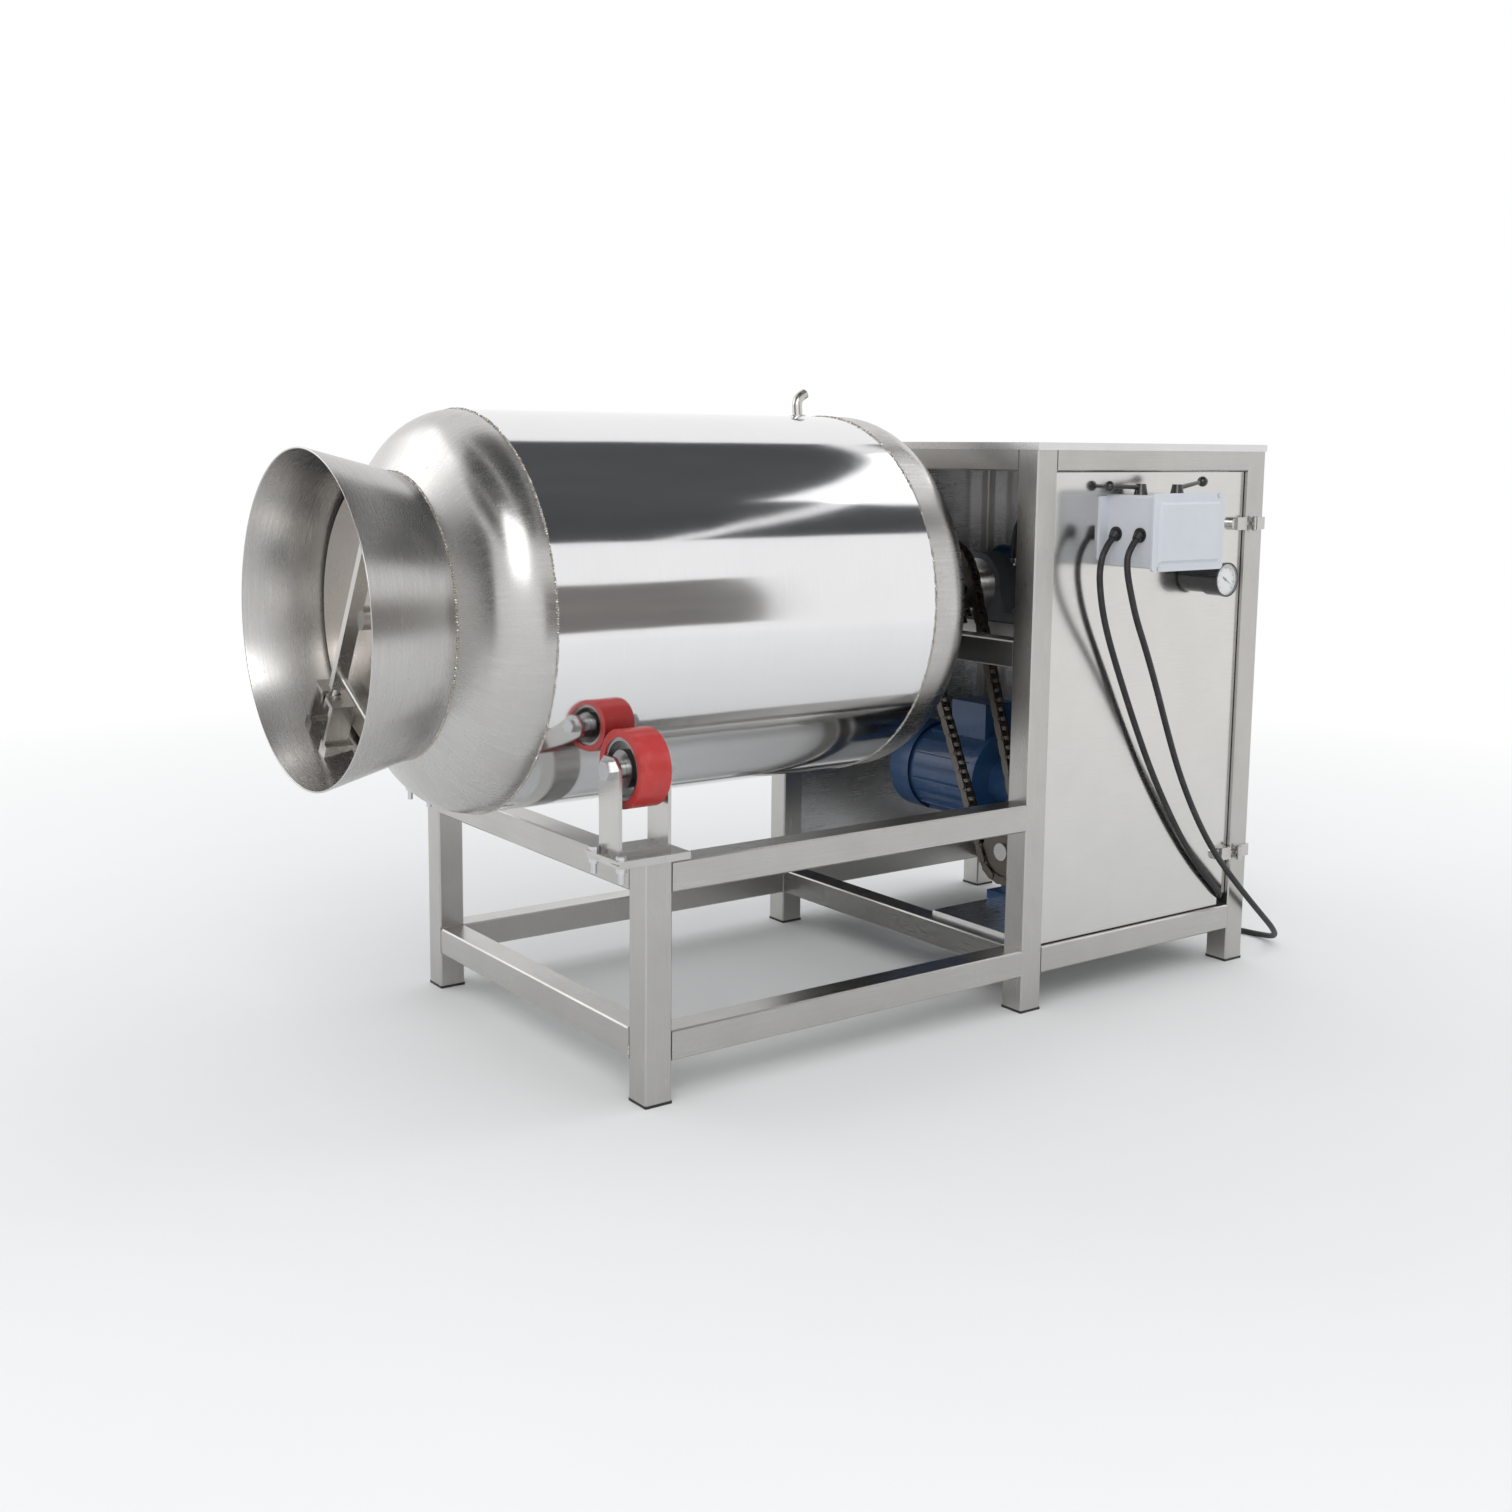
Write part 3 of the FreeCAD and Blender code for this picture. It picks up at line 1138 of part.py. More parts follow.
def pump_motor():
    """Motor of the pump on its foot."""
    z = pump_base_z()
    axis_z = z + PUMP_R + FOOT_T - PUMP_SINK
    body = rod(PUMP_R, Vector(0, PUMP_Y, axis_z), X * -1, PUMP_MOTOR_L)
    foot = box((-PUMP_MOTOR_L * 0.8, -PUMP_MOTOR_L * 0.2), (PUMP_Y - PUMP_R, PUMP_Y + PUMP_R),
               (z, z + FOOT_T))
    leg = box((-PUMP_MOTOR_L * 0.75, -PUMP_MOTOR_L * 0.25), (PUMP_Y - PUMP_R / 2, PUMP_Y + PUMP_R / 2),
              (z, axis_z))
    return body.fuse(foot).fuse(leg)


def exhaust_filter():
    """Round exhaust filter on the pump's end."""
    lx = PUMP_CASE[0]
    z = pump_base_z() + PUMP_CASE[2] - 1.5 * FILTER_R
    return rod(FILTER_R, Vector(lx, PUMP_Y, z), X, 2 * FILTER_R)


def hose_start():
    """Top of the union's port."""
    return (0.0, SHAFT_END + UNION_L / 3, AXIS_Z + SHAFT_R * 1.35 + HOSE_R)


def hose_end():
    """Top of the pump's inlet."""
    return (PUMP_CASE[0] / 2, PUMP_Y, pump_base_z() + PUMP_CASE[2] + FILTER_R / 2)


HOSE_POINTS = [hose_start(), (0, 1165, 850), (5, 1174, 893), (20, 1201, 932), (44, 1244, 948),
               (66, 1284, 932), (75, 1300, 898), hose_end()]


# ================================================================ door
def door_panel():
    """Door: a polished sheet with folded edges and a notch for the cable at its lower rear corner."""
    y, z = panel_limits()
    door = tray((PANEL_X - PANEL_RETURN, PANEL_X), y, z, X * -1)
    return door.cut(box((PANEL_X - 2 * PANEL_RETURN, PANEL_X + 1), (y[1] - CABLE_NOTCH, y[1] + 1),
                        (z[0] - 1, z[0] + CABLE_NOTCH)))


def hinge_spans(z):
    """Heights of a hinge's three knuckles, from below."""
    third = HINGE_H / 3
    low = z - HINGE_H / 2
    return [(low + i * third + 0.15, low + (i + 1) * third - 0.15) for i in range(3)]


def door_strap(z):
    """Door half of a hinge: middle knuckle, a cranked strap and a round pad on the door."""
    low, high = hinge_spans(z)[1]
    pin = Vector(HINGE_X, HINGE_Y, low)
    knuckle_ = rod(HINGE_R, pin, Z, high - low)
    strap_end = HINGE_Y - STRAP_L
    post_edge = CAB_REAR - TUBE
    web = box((HALF_W + LEAF_T / 2, HALF_W + LEAF_T * 1.5), (post_edge - LEAF_T, HINGE_Y), (low, high))
    block = box((PANEL_X, HALF_W + LEAF_T * 1.5), (strap_end + STRAP_DOME_R, post_edge - LEAF_T),
                (z - HINGE_H / 2, z + HINGE_H / 2))
    pad = rod(HINGE_H / 2, Vector(PANEL_X, strap_end + STRAP_DOME_R, z), X, PANEL_RECESS)
    shape = knuckle_.fuse(web).fuse(block).fuse(pad)
    return shape.cut(rod(HINGE_PIN_R + RUN_FIT, pin, Z, high - low))


def post_leaf(z):
    """Post half of a hinge: two knuckles and a leaf folded round the post's rear corner."""
    spans = hinge_spans(z)
    low, high = spans[0][0], spans[2][1]
    leaf = box((HALF_W, HALF_W + LEAF_T), (HINGE_Y + HINGE_R, CAB_REAR + LEAF_T), (low, high))
    fold = box((HALF_W - TUBE / 3, HALF_W), (CAB_REAR, CAB_REAR + LEAF_T), (low, high))
    shape = leaf.fuse(fold)
    for i in (0, 2):
        start, end = spans[i]
        shape = shape.fuse(rod(HINGE_R, Vector(HINGE_X, HINGE_Y, start), Z, end - start))
        shape = shape.fuse(box((HALF_W, HALF_W + LEAF_T * 1.5), (HINGE_Y - HINGE_R / 2, HINGE_Y + 2 * HINGE_R),
                               (start, end)))
    pin_hole = rod(HINGE_PIN_R, Vector(HINGE_X, HINGE_Y, low), Z, high - low)
    return shape.cut(pin_hole)


def hinge_pin(z):
    """Pin with a head at each end."""
    reach = HINGE_H / 2
    pin = rod(HINGE_PIN_R, Vector(HINGE_X, HINGE_Y, z - reach), Z, HINGE_H)
    for end in (z - reach - 2, z + reach):
        pin = pin.fuse(rod(HINGE_PIN_R * 1.5, Vector(HINGE_X, HINGE_Y, end), Z, 2))
    return pin


def round_edged(solid, axis, radius):
    """Fillet the edges that run along one axis."""
    def runs(edge):
        size = edge.BoundBox
        spans = {"x": size.XLength, "y": size.YLength, "z": size.ZLength}
        return spans.pop(axis) > 1 and max(spans.values()) < 0.01
    return solid.makeFillet(radius, [e for e in solid.Edges if runs(e)])


def switch_box(index):
    """One of the two stacked switch boxes, with its cable hole."""
    x = SWITCH_X[index]
    y = (SWITCH_Y, SWITCH_Y + SWITCH_W)
    z = (SWITCH_Z, SWITCH_Z + SWITCH_H)
    body = round_edged(box((x, x + SWITCH_D), y, z), "x", COVER_CORNER / 2)
    if index == 0:
        out = SWITCH_FLANGE_OUT
        flange = box((x, x + SWITCH_FLANGE_T), (y[0] - out, y[1]), (z[0] + out / 2, z[1] - out / 8))
        body = body.fuse(round_edged(flange, "x", COVER_CORNER / 2))
    hollow = rod(GROMMET_R - GROMMET_LIP, Vector(x + SWITCH_D / 2, y[0], gland_z()), Y, GROMMET_L)
    return body.cut(hollow).fuse(rod(SPINDLE_R, lever_foot(index), Z, SPINDLE_H))


def switch_cover():
    """Outer cover: a rim with round corners and a raised, tapered middle."""
    lip = COVER_LIP
    y = (SWITCH_Y - lip, SWITCH_Y + SWITCH_W + lip)
    z = (SWITCH_Z - lip, SWITCH_Z + SWITCH_H + lip)
    rim = round_edged(box((COVER_X, COVER_X + COVER_T / 2), y, z), "x", COVER_CORNER)

    def loop(x, inset):
        a, b, c, d = y[0] + inset, y[1] - inset, z[0] + inset, z[1] - inset
        points = [Vector(x, a, c), Vector(x, b, c), Vector(x, b, d), Vector(x, a, d), Vector(x, a, c)]
        return Part.makePolygon(points)

    raised = Part.makeLoft([loop(COVER_X + COVER_T / 2, COVER_INSET - lip),
                            loop(COVER_FACE_X, COVER_INSET)], True, True)
    return rim.fuse(raised)


def gland_z():
    """Height of the cable holes in the switch boxes."""
    return SWITCH_Z + GLAND_H


def lever_foot(index):
    """Middle of a lever's spindle on top of its switch box."""
    return Vector(SWITCH_X[index] + SWITCH_D / 2, LEVER_Y[index], SWITCH_Z + SWITCH_H)


def lever(index):
    """Switch lever: a waisted hub bored for its spindle, a slim arm and a ball."""
    foot = lever_foot(index) + Z * SEAT_GAP
    turn = math.radians(LEVER_TURN[index])
    heading = Vector(math.cos(turn), math.sin(turn), 0)
    hub = Part.makeCone(LEVER_HUB_R, LEVER_HUB_R * 0.7, LEVER_HUB_H, foot, Z)
    hub = hub.cut(rod(SPINDLE_R + RUN_FIT, foot, Z, SPINDLE_H))
    root = foot + Z * (LEVER_HUB_H - LEVER_ARM_R * 1.4) + heading * SPINDLE_R
    tip = foot + Z * (LEVER_HUB_H - LEVER_ARM_R * 1.4 + LEVER_RISE[index]) + heading * LEVER_L
    arm = Part.makeCone(LEVER_ARM_R, LEVER_TIP_R, (tip - root).Length, root, tip - root)
    return hub.fuse(arm).fuse(Part.makeSphere(BALL_R, tip))


def cover_screws():
    """Two round-headed screws at opposite corners of the cover."""
    near, far = SWITCH_Y + COVER_SCREW_INSET, SWITCH_Y + SWITCH_W - COVER_SCREW_INSET
    low, high = SWITCH_Z, SWITCH_Z + SWITCH_H
    return [rod(COVER_SCREW_R, Vector(COVER_X + COVER_T / 2, y, z), X, COVER_SCREW_H)
            for y, z in ((near, low), (far, high))]


def cable_grommet(index):
    """Black grommet in the near side of a switch box, its boot drooping with the cable."""
    centre = Vector(SWITCH_X[index] + SWITCH_D / 2, SWITCH_Y, gland_z())
    inner = GROMMET_R - GROMMET_LIP
    plug = rod(inner, centre, Y, GROMMET_L).fuse(rod(GROMMET_R, centre, Y * -1, GROMMET_LIP))
    lip = centre - Y * GROMMET_LIP
    droop = Vector(*gland_exit(index)) - lip
    boot = Part.makeCone(GROMMET_R * 0.8, CABLE_R * 1.3, droop.Length, lip, droop)
    return plug.fuse(boot.cut(box((centre.x - SWITCH_D, centre.x + SWITCH_D), (lip.y, lip.y + SWITCH_D),
                                  (lip.z - SWITCH_D, lip.z + SWITCH_D))))


def gland_exit(index):
    """Point where a cable leaves its grommet."""
    return (SWITCH_X[index] + SWITCH_D / 2, SWITCH_Y - GROMMET_LIP - GROMMET_DROP,
            gland_z() - GROMMET_DROP)


def gauge_point(out, radius):
    """A point of the gauge's outline: distance from the door, distance from its axis."""
    return Vector(PANEL_X + out, GAUGE_Y, GAUGE_Z + radius)


def gauge_case():
    """Gauge body: a neck on the door, the case and a rolled bezel."""
    deep = GAUGE_LENS_T * 3
    return turned(outline([gauge_point(0, 0), gauge_point(0, GAUGE_NECK_R),
                           gauge_point(GAUGE_NECK_L, GAUGE_NECK_R), gauge_point(GAUGE_NECK_L, GAUGE_R - 1),
                           gauge_point(GAUGE_L - deep, GAUGE_R - 1), gauge_point(GAUGE_L - deep, GAUGE_R),
                           gauge_point(GAUGE_L, GAUGE_R), gauge_point(GAUGE_L, GAUGE_R - 3),
                           gauge_point(GAUGE_L - deep, GAUGE_R - 3), gauge_point(GAUGE_L - deep, 0)]),
                  Vector(0, GAUGE_Y, GAUGE_Z), X)


def gauge_disc(out, radius, thickness):
    """A disc on the gauge's axis."""
    return rod(radius, Vector(PANEL_X + GAUGE_L - out, GAUGE_Y, GAUGE_Z), X, thickness)


def gauge_dial():
    """White dial at the bottom of the case."""
    return gauge_disc(3 * GAUGE_LENS_T, GAUGE_R - 3, GAUGE_LENS_T / 2).cut(
        gauge_disc(3 * GAUGE_LENS_T, 1.0 + RUN_FIT, GAUGE_LENS_T / 2))


def gauge_lens():
    """Clear window."""
    return gauge_disc(GAUGE_LENS_T, GAUGE_R - 3, GAUGE_LENS_T * 0.8)


def gauge_pointer():
    """Pointer on its boss, with a short tail."""
    x = PANEL_X + GAUGE_L - 2.3 * GAUGE_LENS_T
    a = math.radians(POINTER_TILT)
    along = Vector(0, math.cos(a), math.sin(a))
    side = Vector(0, -math.sin(a), math.cos(a))
    middle = Vector(x, GAUGE_Y, GAUGE_Z)
    needle = prism([middle + along * POINTER_L, middle + side * 1.1, middle - along * 9 + side * 1.6,
                    middle - along * 9 - side * 1.6, middle - side * 1.1], X * 0.6)
    boss = rod(2.4, middle, X, 0.6).fuse(rod(1.0, middle, X * -1, GAUGE_LENS_T * 0.65))
    return needle.fuse(boss)


# ================================================================ cables
DOOR_CABLE = [gland_exit(0), (408.5, 982, 857), (408, 973, 820), (407, 978, 782), (405, 991, 736),
              (402, 1013, 686), (399, 1050, 614), (397, 1098, 522), (395, 1150, 430), (393, 1203, 350),
              (391, 1259, 274), (390, 1318, 208), (390, 1362, 168), (388, 1394, 138), (362, 1399, 131)]
MAINS_CABLE = [gland_exit(1), (465.5, 982, 857), (469, 978, 822), (472, 988, 780), (469, 1008, 734),
               (463, 1044, 676), (452, 1090, 602), (440, 1140, 514), (430, 1192, 424),
               (422, 1256, 330), (415, 1328, 244), (412, 1408, 168), (410, 1480, 104),
               (402, 1546, 52), (372, 1598, 18), (318, 1618, 6), (256, 1606, 6), (200, 1568, 6),
               (152, 1530, 6), (94, 1512, 6)]


def mains_coil():
    """Outer shape of the coiled end."""
    half = COIL_W / 2
    return ring(COIL_MEAN_R + half, COIL_MEAN_R - half, Vector(*COIL_CENTRE, COIL_FLOOR), Z, COIL_H)


def mains_plug():
    """Round plug lying behind the coil: cable end, tapered strain relief, body and pins."""
    half = COIL_MEAN_R + COIL_W / 2
    leave = Vector(COIL_CENTRE[0] - math.sqrt(half ** 2 - COIL_MEAN_R ** 2) + 1,
                   COIL_CENTRE[1] + COIL_MEAN_R, PLUG_R + COIL_FLOOR)
    out = X * -1
    relief = leave + out * PLUG_STUB_L
    body = relief + out * PLUG_RELIEF_L
    shape = rod(CABLE_R, leave, out, PLUG_STUB_L)
    shape = shape.fuse(Part.makeCone(CABLE_R * 1.2, PLUG_R * 0.6, PLUG_RELIEF_L, relief, out))
    shape = shape.fuse(rod(PLUG_R, body, out, PLUG_BODY_L))
    for i in range(3):
        a = math.radians(90 + 120 * i)
        pin = body + out * PLUG_BODY_L + Vector(0, math.cos(a), math.sin(a)) * (PLUG_R * 0.5)
        shape = shape.fuse(rod(PLUG_PIN_R, pin, out, PLUG_PIN_L))
    return shape


# ================================================================ the machine
def build():
    """Every node's solids by name."""
    roller_links, pin_links = chain_links()
    bearing_ys = (CAB_FRONT + TUBE / 2, REAR_BEARING_Y)
    core = [roller_core()] + roller_bearings()
    return {
        "front_legs": legs(0.0, RAIL_TOP),
        "cabinet_posts": legs(CAB_FRONT, CABINET_H) + legs(CAB_REAR - TUBE, CABINET_H),
        "base_rails": base_rails(),
        "top_rails": [cross_rail(y, CABINET_H - TUBE) for y in (CAB_FRONT, CAB_REAR - TUBE)]
        + side_rails(CAB_FRONT + TUBE, CAB_REAR - TUBE, CABINET_H - TUBE),
        "bearing_rails": bearing_rails(),
        "foot_plugs": foot_plugs(),
        "top_sheet": [top_sheet()],
        "fixed_panels": [left_panel()] + rear_panels(),
        "mounting_plates": [base_plate(), shelf()],
        "drum_shell": [drum_shell()],
        "front_head": [front_head()],
        "rear_head": [rear_head()],
        "mouth_cone": [mouth_cone()],
        "seat_ring": [seat_ring()],
        "drum_internals": baffles() + [inlet_strainer()],
        "vacuum_port": [vacuum_port()],
        "drum_hub": [drum_hub()],
        "drum_shaft": [drum_shaft(), shaft_collar(REAR_BEARING_Y + BLOCK_W / 2 + SEAT_GAP)],
        "clamp_lugs": clamp_lugs(),
        "driven_sprocket": [driven_sprocket()],
        "lid": [lid()],
        "lid_gasket": [lid_gasket()],
        "lid_clamp": [clamp_bar(), clamp_stud(), clamp_yoke()],
        "wing_nut": [wing_nut()],
        "roller_tread_right": [roller_tread()],
        "roller_core_right": core,
        "roller_tread_left": [mirrored(roller_tread())],
        "roller_core_left": [mirrored(solid) for solid in core],
        "roller_forks": both_sides(roller_fork()),
        "roller_axles": both_sides(roller_axle(), roller_axle_nut(), *roller_spacers()),
        "roller_plates": both_sides(roller_plate(0), roller_plate(1)),
        "frame_bolts": both_sides(*plate_bolts()) + block_bolts(bearing_ys),
        "pillow_blocks": [pillow_block(y) for y in bearing_ys],
        "bearing_inserts": [bearing_insert(y) for y in bearing_ys],
        "drive_sprocket": [drive_sprocket()],
        "output_shaft": [output_shaft()],
        "chain_roller_links": roller_links,
        "chain_pin_links": pin_links,
        "gearbox": [gearbox()],
        "drive_motor": [drive_motor(), fan_cover(), terminal_box()],
        "rotary_union": [rotary_union()],
        "vacuum_pump": [vacuum_pump(), pump_motor(), exhaust_filter()],
        "vacuum_hose": [cord(HOSE_POINTS, HOSE_R, "vacuum_hose")],
        "door_panel": [door_panel()],
        "door_hinge_straps": [door_strap(z) for z in HINGE_ZS],
        "door_hinge_leaves": [piece(z) for z in HINGE_ZS for piece in (post_leaf, hinge_pin)],
        "switch_boxes": [switch_box(0), switch_box(1)],
        "switch_cover": [switch_cover()],
        "cover_screws": cover_screws(),
        "lever_inner": [lever(0)],
        "lever_outer": [lever(1)],
        "cable_grommets": [cable_grommet(0), cable_grommet(1)],
        "gauge_case": [gauge_case()],
        "gauge_dial": [gauge_dial()],
        "gauge_lens": [gauge_lens()],
        "gauge_pointer": [gauge_pointer()],
        "door_cable": [cord(DOOR_CABLE, CABLE_R, "door_cable")],
        "mains_cable": [cord(MAINS_CABLE, CABLE_R, "mains_cable")],
        "mains_coil": [mains_coil()],
        "mains_plug": [mains_plug()],
    }


def main():
    """Build every node and write its STEP file."""
    os.makedirs("parts", exist_ok=True)
    for name, solids in build().items():
        for i, solid in enumerate(solids):
            if not solid.isValid() or len(solid.Solids) != 1:
                print("CHECK", name, i, solid.isValid(), len(solid.Solids))
        whole = Part.makeCompound([s.Solids[0] for s in solids]) if len(solids) > 1 else solids[0].Solids[0]
        whole.translate(ORIGIN * -1)
        whole.exportStep(f"parts/{name}.step")


if __name__ == "__main__":
    main()
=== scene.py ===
"""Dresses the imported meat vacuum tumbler: finishes, smooth turned parts, welds, cables and a studio."""

import json
import logging
import math
from dataclasses import dataclass
from enum import Enum
from typing import Iterable, Sequence, Union

import bmesh
import bpy
from mathutils import Matrix, Vector

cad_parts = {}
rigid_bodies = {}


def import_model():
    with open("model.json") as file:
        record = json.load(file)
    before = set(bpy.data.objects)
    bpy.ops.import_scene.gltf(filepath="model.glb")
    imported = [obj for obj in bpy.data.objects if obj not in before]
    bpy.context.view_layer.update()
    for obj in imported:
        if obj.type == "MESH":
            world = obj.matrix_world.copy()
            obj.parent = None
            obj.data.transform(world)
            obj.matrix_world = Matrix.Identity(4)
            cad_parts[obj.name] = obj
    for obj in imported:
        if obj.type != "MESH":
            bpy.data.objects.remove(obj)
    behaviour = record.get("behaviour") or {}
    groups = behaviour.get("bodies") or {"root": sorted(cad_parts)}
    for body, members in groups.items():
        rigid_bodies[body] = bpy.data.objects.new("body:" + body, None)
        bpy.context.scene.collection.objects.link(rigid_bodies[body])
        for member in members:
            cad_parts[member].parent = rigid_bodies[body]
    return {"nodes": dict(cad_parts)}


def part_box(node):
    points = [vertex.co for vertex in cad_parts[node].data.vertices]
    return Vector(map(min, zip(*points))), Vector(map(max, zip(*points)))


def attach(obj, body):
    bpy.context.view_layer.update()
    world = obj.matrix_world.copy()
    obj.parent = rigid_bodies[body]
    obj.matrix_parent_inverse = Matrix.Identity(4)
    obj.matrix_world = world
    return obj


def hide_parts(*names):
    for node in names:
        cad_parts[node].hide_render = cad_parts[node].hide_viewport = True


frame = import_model()

LOG = logging.getLogger("tumbler")
Point = Sequence[float]
Colour = tuple[float, float, float]
SHARP = math.radians(32)        # edges sharper than this stay sharp
GRAIN_STRETCH = 60              # a brushed line's length over its width
AXIS_GUARD = 0.0001             # keeps a division by the radius safe on the drum's axis
SLOPE_SHARE = 0.8               # how far Y counts along a sloping wall
HOOP_TURNS = 3                  # changes of a hoop line round the drum
STREAK_TURNS = 60               # streaks round a head
STREAK_REACH = 9                # changes of a streak along its length
STREAK_SHARE = 0.7              # streaks against fine grain on a head
CLOUD_SCALE = 9.0               # cloudy patches on bare metal, per metre
MARK_SCALE = 55.0               # handling marks, per metre
SWELL_SCALE = 5.0               # slow waves in a sheet, per metre
PATCH_SCALE = 14.0              # mottling of paint and plastic, per metre
DUST_SCALE = 40.0               # dust on paint and plastic, per metre


# ---------------------------------------------------------------- shader graphs
class Sock:
    """A shader socket that takes part in arithmetic."""

    def __init__(self, graph: "Graph", socket: bpy.types.NodeSocket) -> None:
        """Wraps a socket of a graph."""
        self.graph = graph
        self.socket = socket

    def maths(self, operation: str, other: "Value" = 0.0, flipped: bool = False) -> "Sock":
        """Adds a Math node.

        Args:
            operation: the node's operation.
            other: the second value.
            flipped: whether the other value comes first.

        Returns:
            The node's result.
        """
        values = [other, self] if flipped else [self, other]
        return self.graph.add("ShaderNodeMath", {"operation": operation}, values)

    def __add__(self, other: "Value") -> "Sock":
        """Sum."""
        return self.maths("ADD", other)

    __radd__ = __add__

    def __sub__(self, other: "Value") -> "Sock":
        """Difference."""
        return self.maths("SUBTRACT", other)

    def __rsub__(self, other: "Value") -> "Sock":
        """Difference from a number."""
        return self.maths("SUBTRACT", other, True)

    def __mul__(self, other: "Value") -> "Sock":
        """Product."""
        return self.maths("MULTIPLY", other)

    __rmul__ = __mul__

    def __truediv__(self, other: "Value") -> "Sock":
        """Quotient."""
        return self.maths("DIVIDE", other)

    def __gt__(self, other: "Value") -> "Sock":
        """One where this is greater."""
        return self.maths("GREATER_THAN", other)

    def __abs__(self) -> "Sock":
        """Size without sign."""
        return self.maths("ABSOLUTE")

    def root(self) -> "Sock":
        """Square root."""
        return self.maths("SQRT")

    def clamp(self) -> "Sock":
        """Held between zero and one."""
        return self.graph.add("ShaderNodeClamp", {}, [self])


Value = Union[Sock, float]


class Graph:
    """The nodes of one material."""

    def __init__(self, name: str) -> None:
        """Makes an empty node material.

        Args:
            name: the material's name.
        """
        self.material = bpy.data.materials.new(name)
        self.material.use_nodes = True
        self.nodes = self.material.node_tree.nodes
        self.links = self.material.node_tree.links
        self.nodes.clear()

    def node(self, kind: str, settings: dict, values: Union[dict, Sequence]) -> bpy.types.Node:
        """Adds a node.

        Args:
            kind: the node's type.
            settings: attributes, set first; a colour ramp's stops come under "stops".
            values: numbers or sockets by input name or place.

        Returns:
            The node.
        """
        made = self.nodes.new(kind)
        for key, value in settings.items():
            if key == "stops":
                self.set_stops(made.color_ramp, value)
            else:
                setattr(made, key, value)
        pairs = values.items() if isinstance(values, dict) else enumerate(values)
        for key, value in pairs:
            if isinstance(value, Sock):
                self.links.new(value.socket, made.inputs[key])
            else:
                made.inputs[key].default_value = value
        return made

    @staticmethod
    def set_stops(ramp: bpy.types.ColorRamp, stops: Sequence[tuple[float, float]]) -> None:
        """Sets a ramp's places and grey levels.

        Args:
            ramp: the node's ramp.
            stops: (place, grey level) pairs in order.
        """
        while len(ramp.elements) < len(stops):
            ramp.elements.new(0.5)
        for element, (place, level) in zip(ramp.elements, stops):
            element.position = place
            element.color = (level, level, level, 1)

    def add(self, kind: str, settings: dict, values: Union[dict, Sequence], output: int = 0) -> Sock:
        """Adds a node and gives one of its outputs.

        Args:
            kind: the node's type.
            settings: attributes, set first.
            values: numbers or sockets by input name or place.
            output: which output.

        Returns:
            The output, ready for arithmetic.
        """
        return Sock(self, self.node(kind, settings, values).outputs[output])

    def place(self) -> Sock:
        """Object coordinates."""
        return self.add("ShaderNodeTexCoord", {}, {}, 3)

    def split(self, vector: Sock) -> tuple[Sock, Sock, Sock]:
        """A vector's three parts."""
        made = self.node("ShaderNodeSeparateXYZ", {}, [vector])
        return tuple(Sock(self, made.outputs[i]) for i in range(3))

    def join(self, x: Value, y: Value, z: Value) -> Sock:
        """A vector of three values."""
        return self.add("ShaderNodeCombineXYZ", {}, [x, y, z])

    def noise(self, vector: Sock, scale: float, detail: float = 3.0, rough: float = 0.55) -> Sock:
        """Smooth noise.

        Args:
            vector: where it is read.
            scale: how fine it is.
            detail: how many finer layers lie on it.
            rough: how strong those layers are.

        Returns:
            A value from 0 to 1.
        """
        return self.add("ShaderNodeTexNoise", {}, {"Vector": vector, "Scale": scale, "Detail": detail,
                                                   "Roughness": rough})

    def ramp(self, value: Sock, *stops: tuple[float, float]) -> Sock:
        """Maps a value through grey stops."""
        return self.add("ShaderNodeValToRGB", {"stops": stops}, [value])

    def mix(self, factor: Value, first: Union[Sock, Colour], second: Union[Sock, Colour]) -> Sock:
        """Mixes two colours.

        Args:
            factor: share of the second one.
            first: a socket or a plain colour.
            second: a socket or a plain colour.

        Returns:
            The mixed colour.
        """
        def full(colour: Union[Sock, Colour]) -> Union[Sock, tuple]:
            """A socket as it is, or a colour with its fourth number."""
            return colour if isinstance(colour, Sock) else (*colour, 1.0)
        return self.add("ShaderNodeMix", {"data_type": "RGBA"},
                        {0: factor, 6: full(first), 7: full(second)}, 2)

    def bump(self, height: Sock, strength: float, distance: float) -> Sock:
        """A normal from a height."""
        return self.add("ShaderNodeBump", {}, {"Height": height, "Strength": strength,
                                               "Distance": distance})

    def surface(self, **values: Union[Sock, float, tuple]) -> bpy.types.Material:
        """Ends the graph in a principled surface.

        Args:
            **values: its sockets, with underscores for spaces.

        Returns:
            The material.
        """
        named = {key.replace("_", " "): value for key, value in values.items()}
        shader = self.add("ShaderNodeBsdfPrincipled", {}, named)
        self.node("ShaderNodeOutputMaterial", {}, [shader])
        return self.material


# ---------------------------------------------------------------- finishes
class Grain(Enum):
    """How a metal's fine lines run."""

    ALONG_Y = "y"
    ALONG_Z = "z"
    RAILS = "along each rail of a level frame"
    HOOPS = "round the drum"
    STREAKS = "from the seam to the middle of a head"
    EVEN = "no direction"


